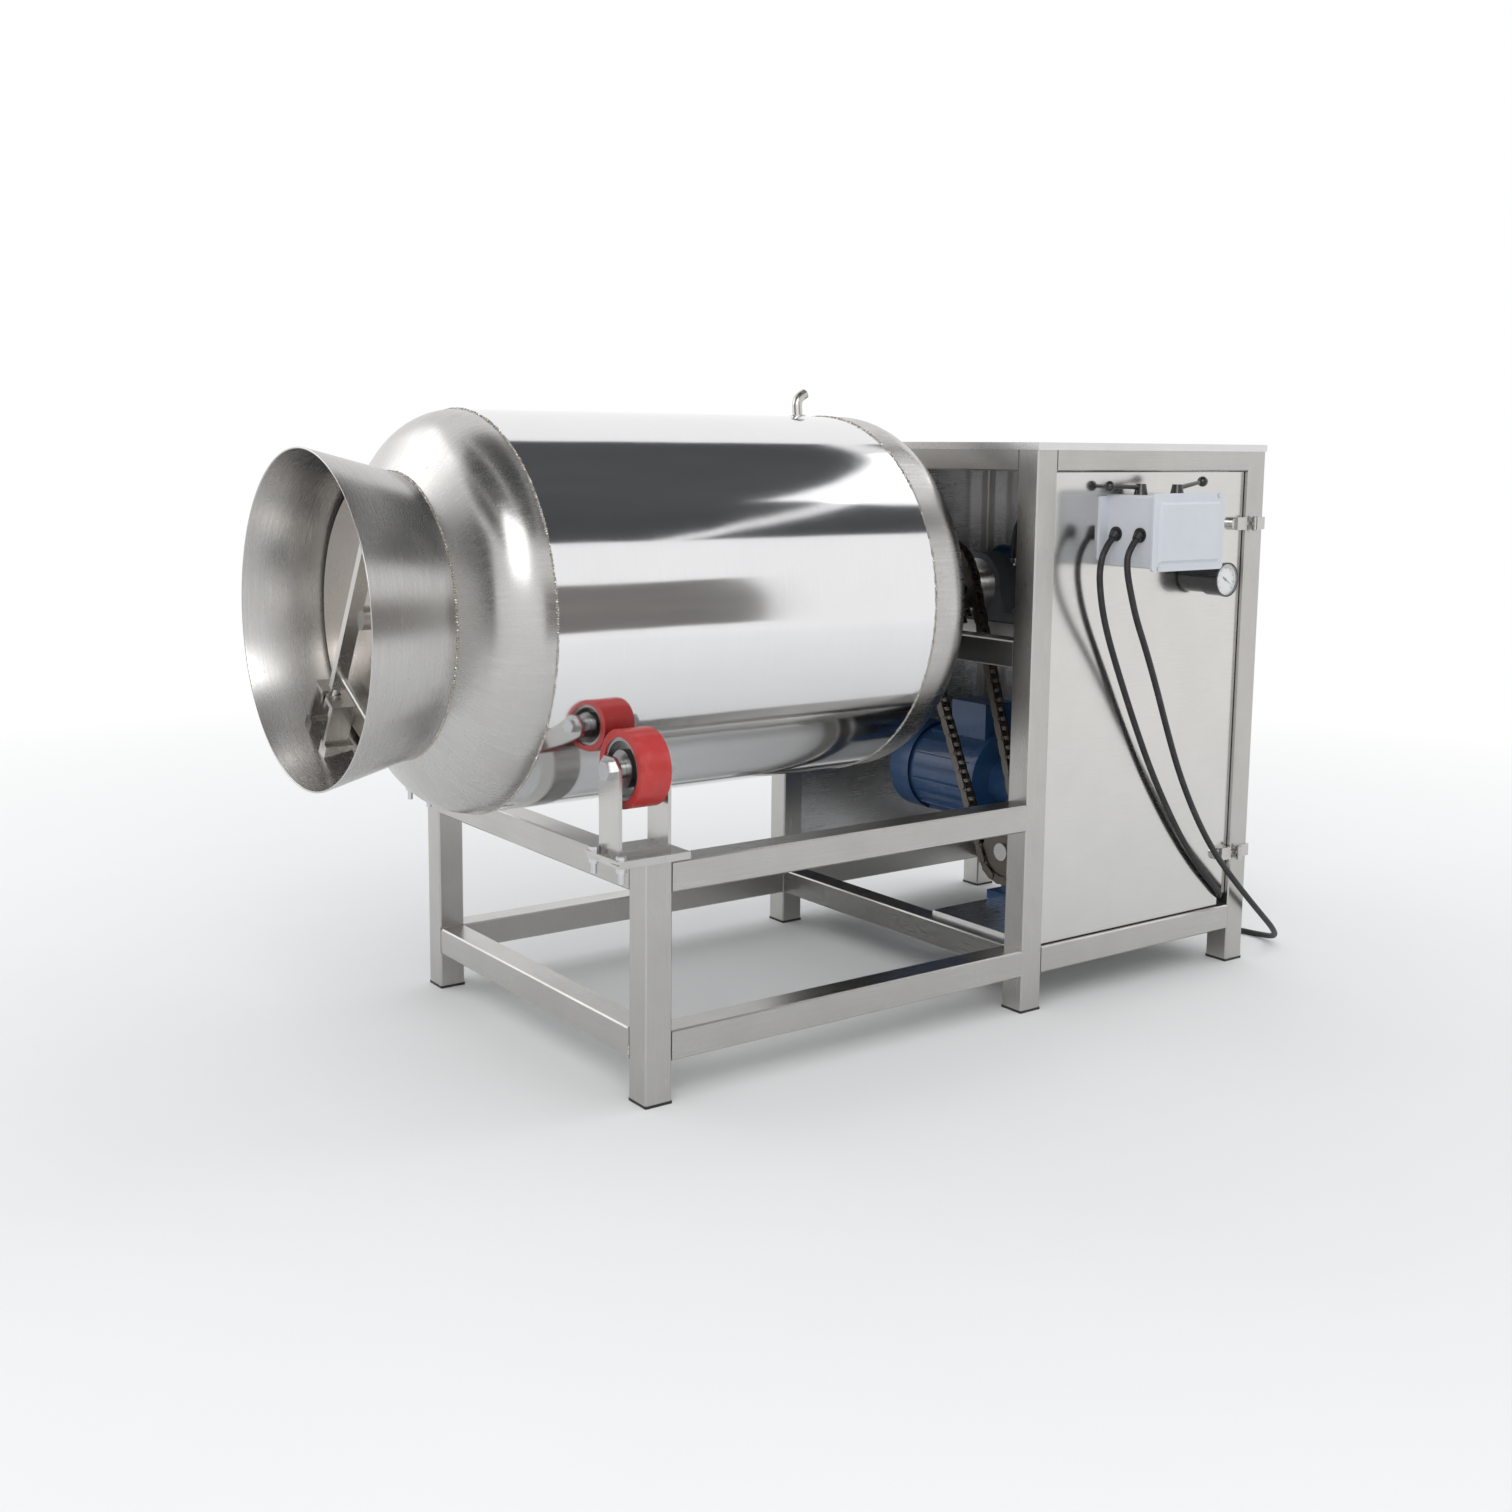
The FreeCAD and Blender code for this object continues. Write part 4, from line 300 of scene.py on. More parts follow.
@dataclass(frozen=True)
class Steel:
    """A bare metal finish with fine lines, cloudy patches and handling marks."""

    name: str
    colour: Colour
    shade: Colour
    rough: float
    rough_spread: float
    grain: Grain
    fineness: float = 700.0
    relief: float = 0.00002
    wave: float = 0.0
    centre: tuple[float, float, float] = (0.0, 0.0, 0.0)
    rail_split: float = 0.0

    def lines(self, graph: Graph) -> Sock:
        """Fine lines in the grain's direction.

        Args:
            graph: the material's nodes.

        Returns:
            A value from 0 to 1 that changes quickly across the grain.
        """
        x, y, z = graph.split(graph.place())
        x, z = x - self.centre[0], z - self.centre[2]
        fine, long_ = self.fineness, self.fineness / GRAIN_STRETCH
        if self.grain is Grain.RAILS:
            side = abs(x) > self.rail_split
            along_x = graph.noise(graph.join(x * long_, y * fine, z * fine), 1.0)
            along_y = graph.noise(graph.join(x * fine, y * long_, z * fine), 1.0)
            return along_y * side + along_x * (1 - side)
        if self.grain in (Grain.HOOPS, Grain.STREAKS):
            radius = (x * x + z * z).root() + AXIS_GUARD
            turn_x, turn_z = x / radius, z / radius
            reach = radius + y * SLOPE_SHARE
            if self.grain is Grain.HOOPS:
                hoops = graph.join(turn_x * HOOP_TURNS, reach * fine, turn_z * HOOP_TURNS)
                return graph.noise(hoops, 1.0)
            spokes = graph.join(turn_x * STREAK_TURNS, reach * STREAK_REACH, turn_z * STREAK_TURNS)
            streaks = graph.noise(spokes, 1.0, 5.0)
            specks = graph.noise(graph.place(), fine / 3)
            return streaks * STREAK_SHARE + specks * (1 - STREAK_SHARE)
        stretch = {Grain.ALONG_Y: (fine, long_, fine), Grain.ALONG_Z: (fine, fine, long_),
                   Grain.EVEN: (fine, fine, fine)}[self.grain]
        return graph.noise(graph.join(x * stretch[0], y * stretch[1], z * stretch[2]), 1.0)

    def material(self) -> bpy.types.Material:
        """Builds the finish.

        Returns:
            The material.
        """
        graph = Graph(self.name)
        lines = self.lines(graph)
        clouds = graph.noise(graph.place(), CLOUD_SCALE, 4.0)
        spots = graph.noise(graph.place(), MARK_SCALE, 6.0, 0.7)
        marks = graph.ramp(spots, (0.60, 0.0), (0.74, 1.0))
        tone = (clouds * 0.5 + lines * 0.5 + marks * 0.12).clamp()
        spread = self.rough_spread
        rough = self.rough + (lines - 0.5) * spread + (clouds - 0.5) * spread + marks * (spread * 0.5)
        swell = graph.noise(graph.place(), SWELL_SCALE, 1.0)
        height = lines * self.relief + swell * self.wave
        return graph.surface(Base_Color=graph.mix(tone, self.colour, self.shade), Metallic=1.0,
                             Roughness=rough.clamp(), Normal=graph.bump(height, 1.0, 1.0))


@dataclass(frozen=True)
class Coating:
    """Paint, rubber or plastic: a colour with soft mottling, dust and a fine skin."""

    name: str
    colour: Colour
    shade: Colour
    rough: float
    skin: float = 260.0
    relief: float = 0.00004
    coat: float = 0.0
    dust: float = 0.12
    dust_colour: Colour = (0.42, 0.40, 0.37)

    def material(self) -> bpy.types.Material:
        """Builds the finish.

        Returns:
            The material.
        """
        graph = Graph(self.name)
        patches = graph.noise(graph.place(), PATCH_SCALE, 4.0)
        fine = graph.noise(graph.place(), self.skin, 2.0)
        dusty = graph.ramp(graph.noise(graph.place(), DUST_SCALE, 6.0, 0.7), (0.50, 0.0), (0.80, 1.0))
        base = graph.mix(patches, self.colour, self.shade)
        rough = self.rough + (patches - 0.5) * 0.16 + dusty * 0.1
        return graph.surface(Base_Color=graph.mix(dusty * self.dust, base, self.dust_colour),
                             Roughness=rough.clamp(), Coat_Weight=self.coat,
                             Normal=graph.bump(fine * self.relief, 1.0, 1.0))


@dataclass(frozen=True)
class Window:
    """Clear gauge window with faint smears."""

    name: str = "gauge_window"

    def material(self) -> bpy.types.Material:
        """Builds the finish.

        Returns:
            The material.
        """
        graph = Graph(self.name)
        smears = graph.noise(graph.place(), 60.0, 3.0)
        return graph.surface(Base_Color=(0.95, 0.97, 0.98, 1.0), Roughness=smears * 0.06 + 0.02,
                             Alpha=smears * 0.06 + 0.12)


@dataclass(frozen=True)
class Plain:
    """A finish of the stage around the machine, seen only in reflections or as the floor."""

    name: str
    colour: Colour
    shade: Colour
    scale: float = 1.4

    def material(self) -> bpy.types.Material:
        """Builds the finish.

        Returns:
            The material.
        """
        graph = Graph(self.name)
        patches = graph.noise(graph.place(), self.scale, 5.0, 0.6)
        colour = graph.mix(patches, self.colour, self.shade)
        return graph.surface(Base_Color=colour, Roughness=0.9)


Finish = Union[Steel, Coating, Window, Plain]
_made: dict[str, bpy.types.Material] = {}


def finish_of(finish: Finish) -> bpy.types.Material:
    """The material of a finish, made once.

    Args:
        finish: the finish.

    Returns:
        Its material.
    """
    if finish.name not in _made:
        _made[finish.name] = finish.material()
    return _made[finish.name]


# ---------------------------------------------------------------- mesh helpers
def new_object(name: str, mesh: bpy.types.Mesh) -> bpy.types.Object:
    """Links a mesh to the scene as an object at the origin.

    Args:
        name: the object's name.
        mesh: its mesh.

    Returns:
        The object.
    """
    made = bpy.data.objects.new(name, mesh)
    bpy.context.scene.collection.objects.link(made)
    return made


def smooth(mesh: bpy.types.Mesh, angle: float = SHARP) -> None:
    """Shades a mesh smooth up to an angle."""
    mesh.shade_smooth()
    mesh.set_sharp_from_angle(angle=angle)


def from_bmesh(name: str, shape: bmesh.types.BMesh, angle: float = SHARP) -> bpy.types.Object:
    """Turns a bmesh into an object with outward normals.

    Args:
        name: the object's name.
        shape: the bmesh, which is freed.
        angle: edges sharper than this stay sharp.

    Returns:
        The object.
    """
    bmesh.ops.remove_doubles(shape, verts=shape.verts, dist=1e-6)
    bmesh.ops.recalc_face_normals(shape, faces=shape.faces)
    mesh = bpy.data.meshes.new(name)
    shape.to_mesh(mesh)
    shape.free()
    smooth(mesh, angle)
    return new_object(name, mesh)


def frame_along(axis: Vector) -> Matrix:
    """A rotation whose Z lies along an axis."""
    return axis.normalized().to_track_quat("Z", "Y").to_matrix()


def lathe(name: str, profile: Sequence[tuple[float, float]], origin: Point, axis: Point,
          segments: int = 96, closed: bool = True) -> bpy.types.Object:
    """A turned part.

    Args:
        name: the object's name.
        profile: (along, radius) pairs; a closed outline, or one that starts and ends on the axis.
        origin: a point on the axis.
        axis: the axis' direction.
        segments: steps round the axis.
        closed: whether the last point joins the first.

    Returns:
        The object.
    """
    shape = bmesh.new()
    turn = frame_along(Vector(axis))
    start = Vector(origin)
    rings = []
    for along, radius in profile:
        if radius < 1e-7:
            rings.append([shape.verts.new(start + turn @ Vector((0, 0, along)))] * segments)
            continue
        rings.append([shape.verts.new(start + turn @ Vector((
            radius * math.cos(2 * math.pi * i / segments), radius * math.sin(2 * math.pi * i / segments),
            along))) for i in range(segments)])
    pairs = list(zip(rings, rings[1:])) + ([(rings[-1], rings[0])] if closed else [])
    for first, second in pairs:
        for i in range(segments):
            j = (i + 1) % segments
            corners = []
            for vert in (first[i], first[j], second[j], second[i]):
                if vert not in corners:
                    corners.append(vert)
            if len(corners) > 2:
                shape.faces.new(corners)
    return from_bmesh(name, shape)


def arc(centre: tuple[float, float], radius: float, start: float, end: float,
        steps: int) -> list[tuple[float, float]]:
    """Points on an arc in a profile.

    Args:
        centre: its (along, radius) centre.
        radius: its radius.
        start: its first angle in degrees, from straight out.
        end: its last angle.
        steps: how many chords it has.

    Returns:
        (along, radius) pairs.
    """
    return [(centre[0] + radius * math.sin(a), centre[1] + radius * math.cos(a))
            for a in (math.radians(start + (end - start) * i / steps) for i in range(steps + 1))]


def settled(piece: bpy.types.Object) -> bpy.types.Object:
    """Makes a piece's modifiers part of its mesh.

    Args:
        piece: the object.

    Returns:
        The same object with a plain mesh.
    """
    seen = piece.evaluated_get(bpy.context.evaluated_depsgraph_get())
    mesh = bpy.data.meshes.new_from_object(seen)
    piece.modifiers.clear()
    piece.data = mesh
    smooth(mesh)
    return piece


def wear(piece: bpy.types.Object, finish: Finish, body: str, slot: str, *nodes: str) -> bpy.types.Object:
    """Gives a piece its finish and its place in the machine.

    Args:
        piece: the finished object.
        finish: its finish.
        body: the body it rides on.
        slot: the record's material slot; not used.
        *nodes: solids that it stands for.

    Returns:
        The piece.
    """
    piece.data.materials.clear()
    piece.data.materials.append(finish_of(finish))
    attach(piece, body)
    if nodes:
        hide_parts(*nodes)
    LOG.info("%s rides on %s", piece.name, body)
    return piece


def dress(finish: Finish, *nodes: str) -> None:
    """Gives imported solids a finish.

    Args:
        finish: the finish.
        *nodes: the names of the solids.
    """
    for node in nodes:
        solid = bpy.data.objects[node]
        if not solid.material_slots:
            solid.data.materials.append(None)
        for slot in solid.material_slots:
            slot.material = finish_of(finish)


# ---------------------------------------------------------------- geometry trees
class Tree:
    """A geometry tree with named inputs."""

    def __init__(self, name: str, **inputs: str) -> None:
        """Makes the tree.

        Args:
            name: the tree's name.
            **inputs: socket types by input name.
        """
        self.tree = bpy.data.node_groups.new(name, "GeometryNodeTree")
        face = self.tree.interface
        face.new_socket(name="Geometry", in_out="INPUT", socket_type="NodeSocketGeometry")
        self.ids = {key: face.new_socket(name=key, in_out="INPUT", socket_type=kind).identifier
                    for key, kind in inputs.items()}
        face.new_socket(name="Geometry", in_out="OUTPUT", socket_type="NodeSocketGeometry")
        self.inlet = self.tree.nodes.new("NodeGroupInput")
        self.outlet = self.tree.nodes.new("NodeGroupOutput")

    def value(self, name: str) -> bpy.types.NodeSocket:
        """An input of the tree by name."""
        return self.inlet.outputs[name]

    def node(self, kind: str, settings: dict, values: dict) -> bpy.types.Node:
        """Adds a node.

        Args:
            kind: the node's type.
            settings: attributes, set first.
            values: numbers or sockets by input name or place.

        Returns:
            The node.
        """
        made = self.tree.nodes.new(kind)
        for key, value in settings.items():
            setattr(made, key, value)
        for key, value in values.items():
            if isinstance(value, bpy.types.NodeSocket):
                self.tree.links.new(value, made.inputs[key])
            else:
                made.inputs[key].default_value = value
        return made

    def end(self, instances: bpy.types.NodeSocket) -> None:
        """Realises the instances, gives them the material and ends the tree.

        Args:
            instances: the last geometry.
        """
        real = self.node("GeometryNodeRealizeInstances", {}, {"Geometry": instances})
        dressed = self.node("GeometryNodeSetMaterial", {},
                            {"Geometry": real.outputs[0], "Material": self.value("Material")})
        self.tree.links.new(dressed.outputs[0], self.outlet.inputs[0])

    def run(self, carrier: bpy.types.Object, **values: object) -> bpy.types.Object:
        """Runs the tree on a carrier mesh and keeps the result as a plain mesh.

        Args:
            carrier: the object that the tree starts from.
            **values: the tree's inputs by name.

        Returns:
            The same object with the result.
        """
        modifier = carrier.modifiers.new("tree", "NODES")
        modifier.node_group = self.tree
        for key, value in values.items():
            modifier[self.ids[key]] = value
        return settled(carrier)


def bead_tree() -> Tree:
    """Weld beads that follow every line of the carrier, each a little different.

    Returns:
        The tree.
    """
    tree = Tree("weld_beads", Pitch="NodeSocketFloat", Bead="NodeSocketFloat",
                Material="NodeSocketMaterial")
    line = tree.node("GeometryNodeMeshToCurve", {}, {"Mesh": tree.value("Geometry")})
    steps = tree.node("GeometryNodeResampleCurve", {"mode": "LENGTH"},
                      {"Curve": line.outputs[0], "Length": tree.value("Pitch")})
    ball = tree.node("GeometryNodeMeshIcoSphere", {}, {"Radius": tree.value("Bead"), "Subdivisions": 1})
    soft = tree.node("GeometryNodeSetShadeSmooth", {}, {"Geometry": ball.outputs[0]})
    spread = tree.node("FunctionNodeRandomValue", {"data_type": "FLOAT"}, {2: 0.75, 3: 1.2, "Seed": 7})
    turn = tree.node("FunctionNodeRandomValue", {"data_type": "FLOAT_VECTOR"},
                     {0: (0, 0, 0), 1: (3, 3, 3), "Seed": 11})
    placed = tree.node("GeometryNodeInstanceOnPoints", {},
                       {"Points": steps.outputs[0], "Instance": soft.outputs[0],
                        "Rotation": turn.outputs[0], "Scale": spread.outputs[1]})
    tree.end(placed.outputs[0])
    return tree


def lines_object(name: str, runs: Iterable[Sequence[Point]]) -> bpy.types.Object:
    """A carrier mesh of open lines.

    Args:
        name: the object's name.
        runs: the points of each line.

    Returns:
        The object.
    """
    verts, edges = [], []
    for run in runs:
        start = len(verts)
        verts += [tuple(p) for p in run]
        edges += [(start + i, start + i + 1) for i in range(len(run) - 1)]
    mesh = bpy.data.meshes.new(name)
    mesh.from_pydata(verts, edges, [])
    return new_object(name, mesh)


def hoop(centre: Point, radius: float, axis: Point, steps: int = 180) -> list[Vector]:
    """Points on a circle.

    Args:
        centre: its centre.
        radius: its radius.
        axis: its axis.
        steps: how many chords it has.

    Returns:
        The points, the first one repeated at the end.
    """
    turn = frame_along(Vector(axis))
    return [Vector(centre) + turn @ Vector((radius * math.cos(a), radius * math.sin(a), 0))
            for a in (math.radians(360.0 * i / steps) for i in range(steps + 1))]


# ---------------------------------------------------------------- layout shared by the classes
@dataclass(frozen=True)
class Layout:
    """Where the machine's own millimetres lie in the frame.

    The machine counts X from the drum's axis, Y from the front legs' face and Z from the floor.
    """

    axis_x: float
    front_y: float
    axis_z: float

    @classmethod
    def read(cls) -> "Layout":
        """Works the places out from the solids' boxes.

        Returns:
            The layout.
        """
        shell_low, shell_high = (Vector(corner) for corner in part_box("drum_shell"))
        middle = (shell_low + shell_high) / 2
        return cls(middle.x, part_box("front_legs")[0][1], middle.z)

    def spot(self, x: float, y: float, z: float) -> Vector:
        """A point given in the machine's millimetres."""
        return Vector((self.axis_x + x / 1000, self.front_y + y / 1000, z / 1000))

    def drum_axis(self) -> Vector:
        """The point on the drum's axis at the front legs' face."""
        return Vector((self.axis_x, self.front_y, self.axis_z))


DOOR_SHEET = Steel("door_sheet", (0.72, 0.71, 0.69), (0.58, 0.57, 0.55), 0.17, 0.08, Grain.ALONG_Y,
                   fineness=800, relief=0.000006, wave=0.0008)
SHEET = Steel("sheet", (0.78, 0.78, 0.79), (0.64, 0.64, 0.65), 0.26, 0.10, Grain.ALONG_Y, fineness=700)
FRAME_UPRIGHT = Steel("upright_tube", (0.60, 0.59, 0.57), (0.42, 0.41, 0.39), 0.30, 0.12, Grain.ALONG_Z,
                      fineness=650)
FITTING = Steel("fitting", (0.66, 0.65, 0.63), (0.48, 0.47, 0.45), 0.25, 0.12, Grain.EVEN, fineness=420)
ZINC = Steel("zinc", (0.72, 0.73, 0.74), (0.55, 0.56, 0.58), 0.32, 0.14, Grain.EVEN, fineness=500)
DARK_STEEL = Steel("chain_steel", (0.20, 0.18, 0.16), (0.09, 0.08, 0.07), 0.38, 0.16, Grain.EVEN,
                   fineness=500)
WHEEL_STEEL = Steel("wheel_steel", (0.50, 0.50, 0.50), (0.34, 0.33, 0.32), 0.30, 0.12, Grain.EVEN)
WELD = Steel("weld_bead", (0.62, 0.60, 0.56), (0.36, 0.33, 0.29), 0.30, 0.16, Grain.EVEN, fineness=900,
             relief=0.00006)
CAST_BLUE = Coating("machine_blue_paint", (0.03, 0.10, 0.24), (0.02, 0.07, 0.18), 0.38, coat=0.3)
IRON = Coating("block_paint", (0.10, 0.11, 0.12), (0.06, 0.065, 0.07), 0.45)
BOX_GREY = Coating("box_plastic", (0.64, 0.66, 0.70), (0.57, 0.59, 0.63), 0.42, skin=900, relief=0.00001,
                   dust=0.06)
URETHANE = Coating("red_urethane", (0.55, 0.035, 0.03), (0.42, 0.02, 0.02), 0.40, coat=0.2)
PLUG_BLACK = Coating("leg_plug_plastic", (0.020, 0.020, 0.021), (0.012, 0.012, 0.013), 0.50)
RUBBER = Coating("cable_rubber", (0.016, 0.016, 0.017), (0.010, 0.010, 0.011), 0.46, dust=0.08)
SILICONE = Coating("gasket_silicone", (0.80, 0.80, 0.77), (0.70, 0.70, 0.67), 0.50, dust=0.05)
LEVER_BLACK = Coating("lever_plastic", (0.012, 0.012, 0.013), (0.008, 0.008, 0.009), 0.20, coat=0.5,
                      dust=0.03)
GAUGE_WHITE = Coating("dial_enamel", (0.86, 0.86, 0.84), (0.82, 0.82, 0.80), 0.45, dust=0.03)


# ---------------------------------------------------------------- drum
@dataclass
class Drum:
    """Polished shell, its two heads, the flared mouth, the lid and the welds that join them."""

    layout: Layout
    radius: float = 0.335
    wall: float = 0.003
    front_seam: float = -0.122
    length: float = 0.762
    front_bend: float = 0.100
    front_turn: float = 60.0
    neck: float = 0.233
    mouth: float = 0.155
    rim: float = 0.272
    rear_flange: float = 0.038
    rear_bend: float = 0.070
    rear_turn: float = 75.0
    hub: float = 0.054
    lid_radius: float = 0.224
    lid_wall: float = 0.003
    lid_dome: float = 0.010
    lid_flat: float = 0.200
    lid_depth: float = 0.024
    collar: float = 0.006
    seam_pitch: float = 0.0042
    seam_bead: float = 0.0024
    bead_stand: float = 0.0002
    neck_bead_stand: float = 0.0008
    dome_steps: int = 12
    segments: int = 192

    def turned(self, name: str, profile: Sequence[tuple[float, float]]) -> bpy.types.Object:
        """A part turned about the drum's axis."""
        return lathe(name, profile, self.layout.drum_axis(), (0, 1, 0), self.segments)

    def neck_y(self) -> float:
        """Y of the joint between the front head and the mouth.

        Returns:
            Metres from the front legs' face.
        """
        sweep = math.radians(self.front_turn)
        fall = self.radius - self.front_bend * (1 - math.cos(sweep)) - self.neck
        return self.front_seam - self.front_bend * math.sin(sweep) - fall / math.tan(sweep)

    def shell(self) -> bpy.types.Object:
        """The rolled shell.

        Returns:
            The piece.
        """
        front, rear = self.front_seam, self.front_seam + self.length
        return self.turned("polished_shell", [(front, self.radius), (rear, self.radius),
                                              (rear, self.radius - self.wall),
                                              (front, self.radius - self.wall)])

    def front_head(self) -> bpy.types.Object:
        """The front head with its bend.

        Returns:
            The piece.
        """
        centre = (self.front_seam, self.radius - self.front_bend)
        outer = arc(centre, self.front_bend, 0, -self.front_turn, 14)
        inner = arc(centre, self.front_bend - self.wall, -self.front_turn, 0, 14)
        neck = self.neck_y()
        shift = self.wall / math.sin(math.radians(self.front_turn))
        return self.turned("front_dish", [*outer, (neck, self.neck), (neck + shift, self.neck), *inner])

    def rear_head(self) -> bpy.types.Object:
        """The crowned rear head with the hub's hole.

        Returns:
            The piece.
        """
        start = self.front_seam + self.length
        sides = []
        for inset in (0.0, self.wall):
            centre = (start + self.rear_flange, self.radius - self.rear_bend)
            bend = arc(centre, self.rear_bend - inset, 0, self.rear_turn, 12)
            crown = bend[-1][1] / math.cos(math.radians(self.rear_turn))
            middle = bend[-1][0] - crown * math.sin(math.radians(self.rear_turn))
            edge = math.degrees(math.acos(self.hub / crown))
            sides.append([(start, self.radius - inset), *bend,
                          *arc((middle, 0), crown, self.rear_turn, edge, 10)[1:]])
        return self.turned("rear_dish", [*sides[0], *reversed(sides[1])])

    def mouth_flare(self) -> bpy.types.Object:
        """The flared mouth, its rim ground round.

        Returns:
            The piece.
        """
        neck, front = self.neck_y(), self.neck_y() - self.mouth
        round_ = self.wall / 2
        rim = arc((front + round_, self.rim - round_), round_, 0, -180, 6)
        return self.turned("flared_mouth", [(neck + self.collar, self.neck), (neck, self.neck), *rim,
                                            (neck, self.neck - self.wall),
                                            (neck + self.collar, self.neck - self.wall)])

    def lid(self) -> bpy.types.Object:
        """The pressed lid, closed in its middle.

        Returns:
            The piece.
        """
        back = self.neck_y() - self.lid_depth
        front = back - self.lid_wall
        steps = [i / self.dome_steps for i in range(self.dome_steps + 1)]

        def dome(base: float, edge: float) -> list[tuple[float, float]]:
            """One face of the dome, from the axis to its edge."""
            return [(base - self.lid_dome * (1 - t * t), edge * t) for t in steps]

        return self.turned("pressed_lid", [*dome(front, self.lid_flat), (front, self.lid_radius),
                                           (back, self.lid_radius), *reversed(dome(back, self.lid_flat))])

    def seams(self) -> bpy.types.Object:
        """Ripples of weld along the seams of the drum.

        Returns:
            The piece.
        """
        middle = self.layout.drum_axis()
        shell = self.radius + self.bead_stand
        places = ((self.front_seam, shell), (self.front_seam + self.length, shell),
                  (self.neck_y(), self.neck + self.neck_bead_stand))
        runs = [hoop(middle + Vector((0, y, 0)), radius, (0, 1, 0)) for y, radius in places]
        carrier = lines_object("drum_weld_beads", runs)
        return bead_tree().run(carrier, Pitch=self.seam_pitch, Bead=self.seam_bead,
                               Material=finish_of(WELD))

    def build(self) -> None:
        """Makes and dresses the drum."""
        head = Steel("dished_head", (0.66, 0.65, 0.64), (0.42, 0.41, 0.39), 0.28, 0.20, Grain.STREAKS,
                     fineness=500, relief=0.00003, wave=0.0008, centre=self.centre())
        flare = Steel("flare_steel", (0.62, 0.61, 0.60), (0.45, 0.44, 0.42), 0.27, 0.10, Grain.HOOPS,
                      fineness=500, relief=0.000012, wave=0.0006, centre=self.centre())
        lid_steel = Steel("lid_steel", (0.66, 0.61, 0.57), (0.46, 0.42, 0.39), 0.26, 0.10, Grain.EVEN)
        shell = Steel("shell_mirror", (0.86, 0.86, 0.87), (0.76, 0.76, 0.77), 0.09, 0.04, Grain.HOOPS,
                      fineness=900, relief=0.000004, wave=0.0006, centre=self.centre())
        wear(self.shell(), shell, "drum", "polished_steel", "drum_shell")
        wear(self.front_head(), head, "drum", "polished_steel", "front_head")
        wear(self.rear_head(), head, "drum", "polished_steel", "rear_head")
        wear(self.mouth_flare(), flare, "drum", "polished_steel", "mouth_cone")
        wear(self.lid(), lid_steel, "lid", "polished_steel", "lid")
        wear(self.seams(), WELD, "drum", "polished_steel")
        dress(flare, "seat_ring")
        dress(FITTING, "drum_internals", "vacuum_port", "drum_hub", "drum_shaft", "clamp_lugs",
              "lid_clamp", "wing_nut")
        dress(DARK_STEEL, "driven_sprocket")
        dress(SILICONE, "lid_gasket")

    def centre(self) -> tuple[float, float, float]:
        """The drum's axis as plain numbers."""
        return tuple(self.layout.drum_axis())


# ---------------------------------------------------------------- frame, drive and cabinet
@dataclass
class Frame:
    """Welded tube frame, its rollers, the drive and what the cabinet holds."""

    layout: Layout
    bead: float = 0.0022
    pitch: float = 0.0034
    tube: float = 0.050
    corner: float = 0.003
    bead_stand: float = 0.0002
    rail_split: float = 0.3415

    def joints(self) -> bpy.types.Object:
        """Weld beads where the level rails meet the uprights.

        Returns:
            The piece.
        """
        runs = []
        low_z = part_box("base_rails")[0][2]
        for node in ("front_legs", "cabinet_posts"):
            (x0, y0, _), (x1, _, _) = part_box(node)
            front = y0 + self.bead_stand
            for x, side in ((x0, 1), (x1, -1)):
                face = x + side * self.tube
                proud = x + side * (self.tube + self.bead_stand)
                for z in (low_z, low_z + self.tube):
                    runs.append([(face, y0 + self.corner, z), (face, y0 + self.tube - self.corner, z)])
                runs.append([(proud, front, low_z), (proud, front, low_z + self.tube)])
        carrier = lines_object("frame_weld_beads", runs)
        return bead_tree().run(carrier, Pitch=self.pitch, Bead=self.bead, Material=finish_of(WELD))

    def build(self) -> None:
        """Dresses the frame's solids."""
        wear(self.joints(), WELD, "frame", "satin_frame_steel")
        dress(FRAME_UPRIGHT, "front_legs", "cabinet_posts")
        centre = (self.layout.axis_x, 0.0, 0.0)
        rails = Steel("rail_tube", (0.60, 0.59, 0.57), (0.42, 0.41, 0.39), 0.30, 0.12, Grain.RAILS,
                      fineness=650, centre=centre, rail_split=self.rail_split)
        dress(rails, "base_rails", "top_rails", "bearing_rails")
        dress(SHEET, "top_sheet", "fixed_panels", "mounting_plates")
        dress(ZINC, "frame_bolts", "roller_axles", "cover_screws")
        dress(FITTING, "roller_forks", "roller_plates", "output_shaft", "rotary_union",
              "door_hinge_leaves", "door_hinge_straps")
        dress(PLUG_BLACK, "foot_plugs", "mains_plug")
        dress(IRON, "pillow_blocks")
        dress(WHEEL_STEEL, "bearing_inserts", "roller_core_right", "roller_core_left")
        dress(URETHANE, "roller_tread_right", "roller_tread_left")
        dress(DARK_STEEL, "chain_roller_links", "chain_pin_links", "drive_sprocket")
        dress(CAST_BLUE, "gearbox", "drive_motor", "vacuum_pump")


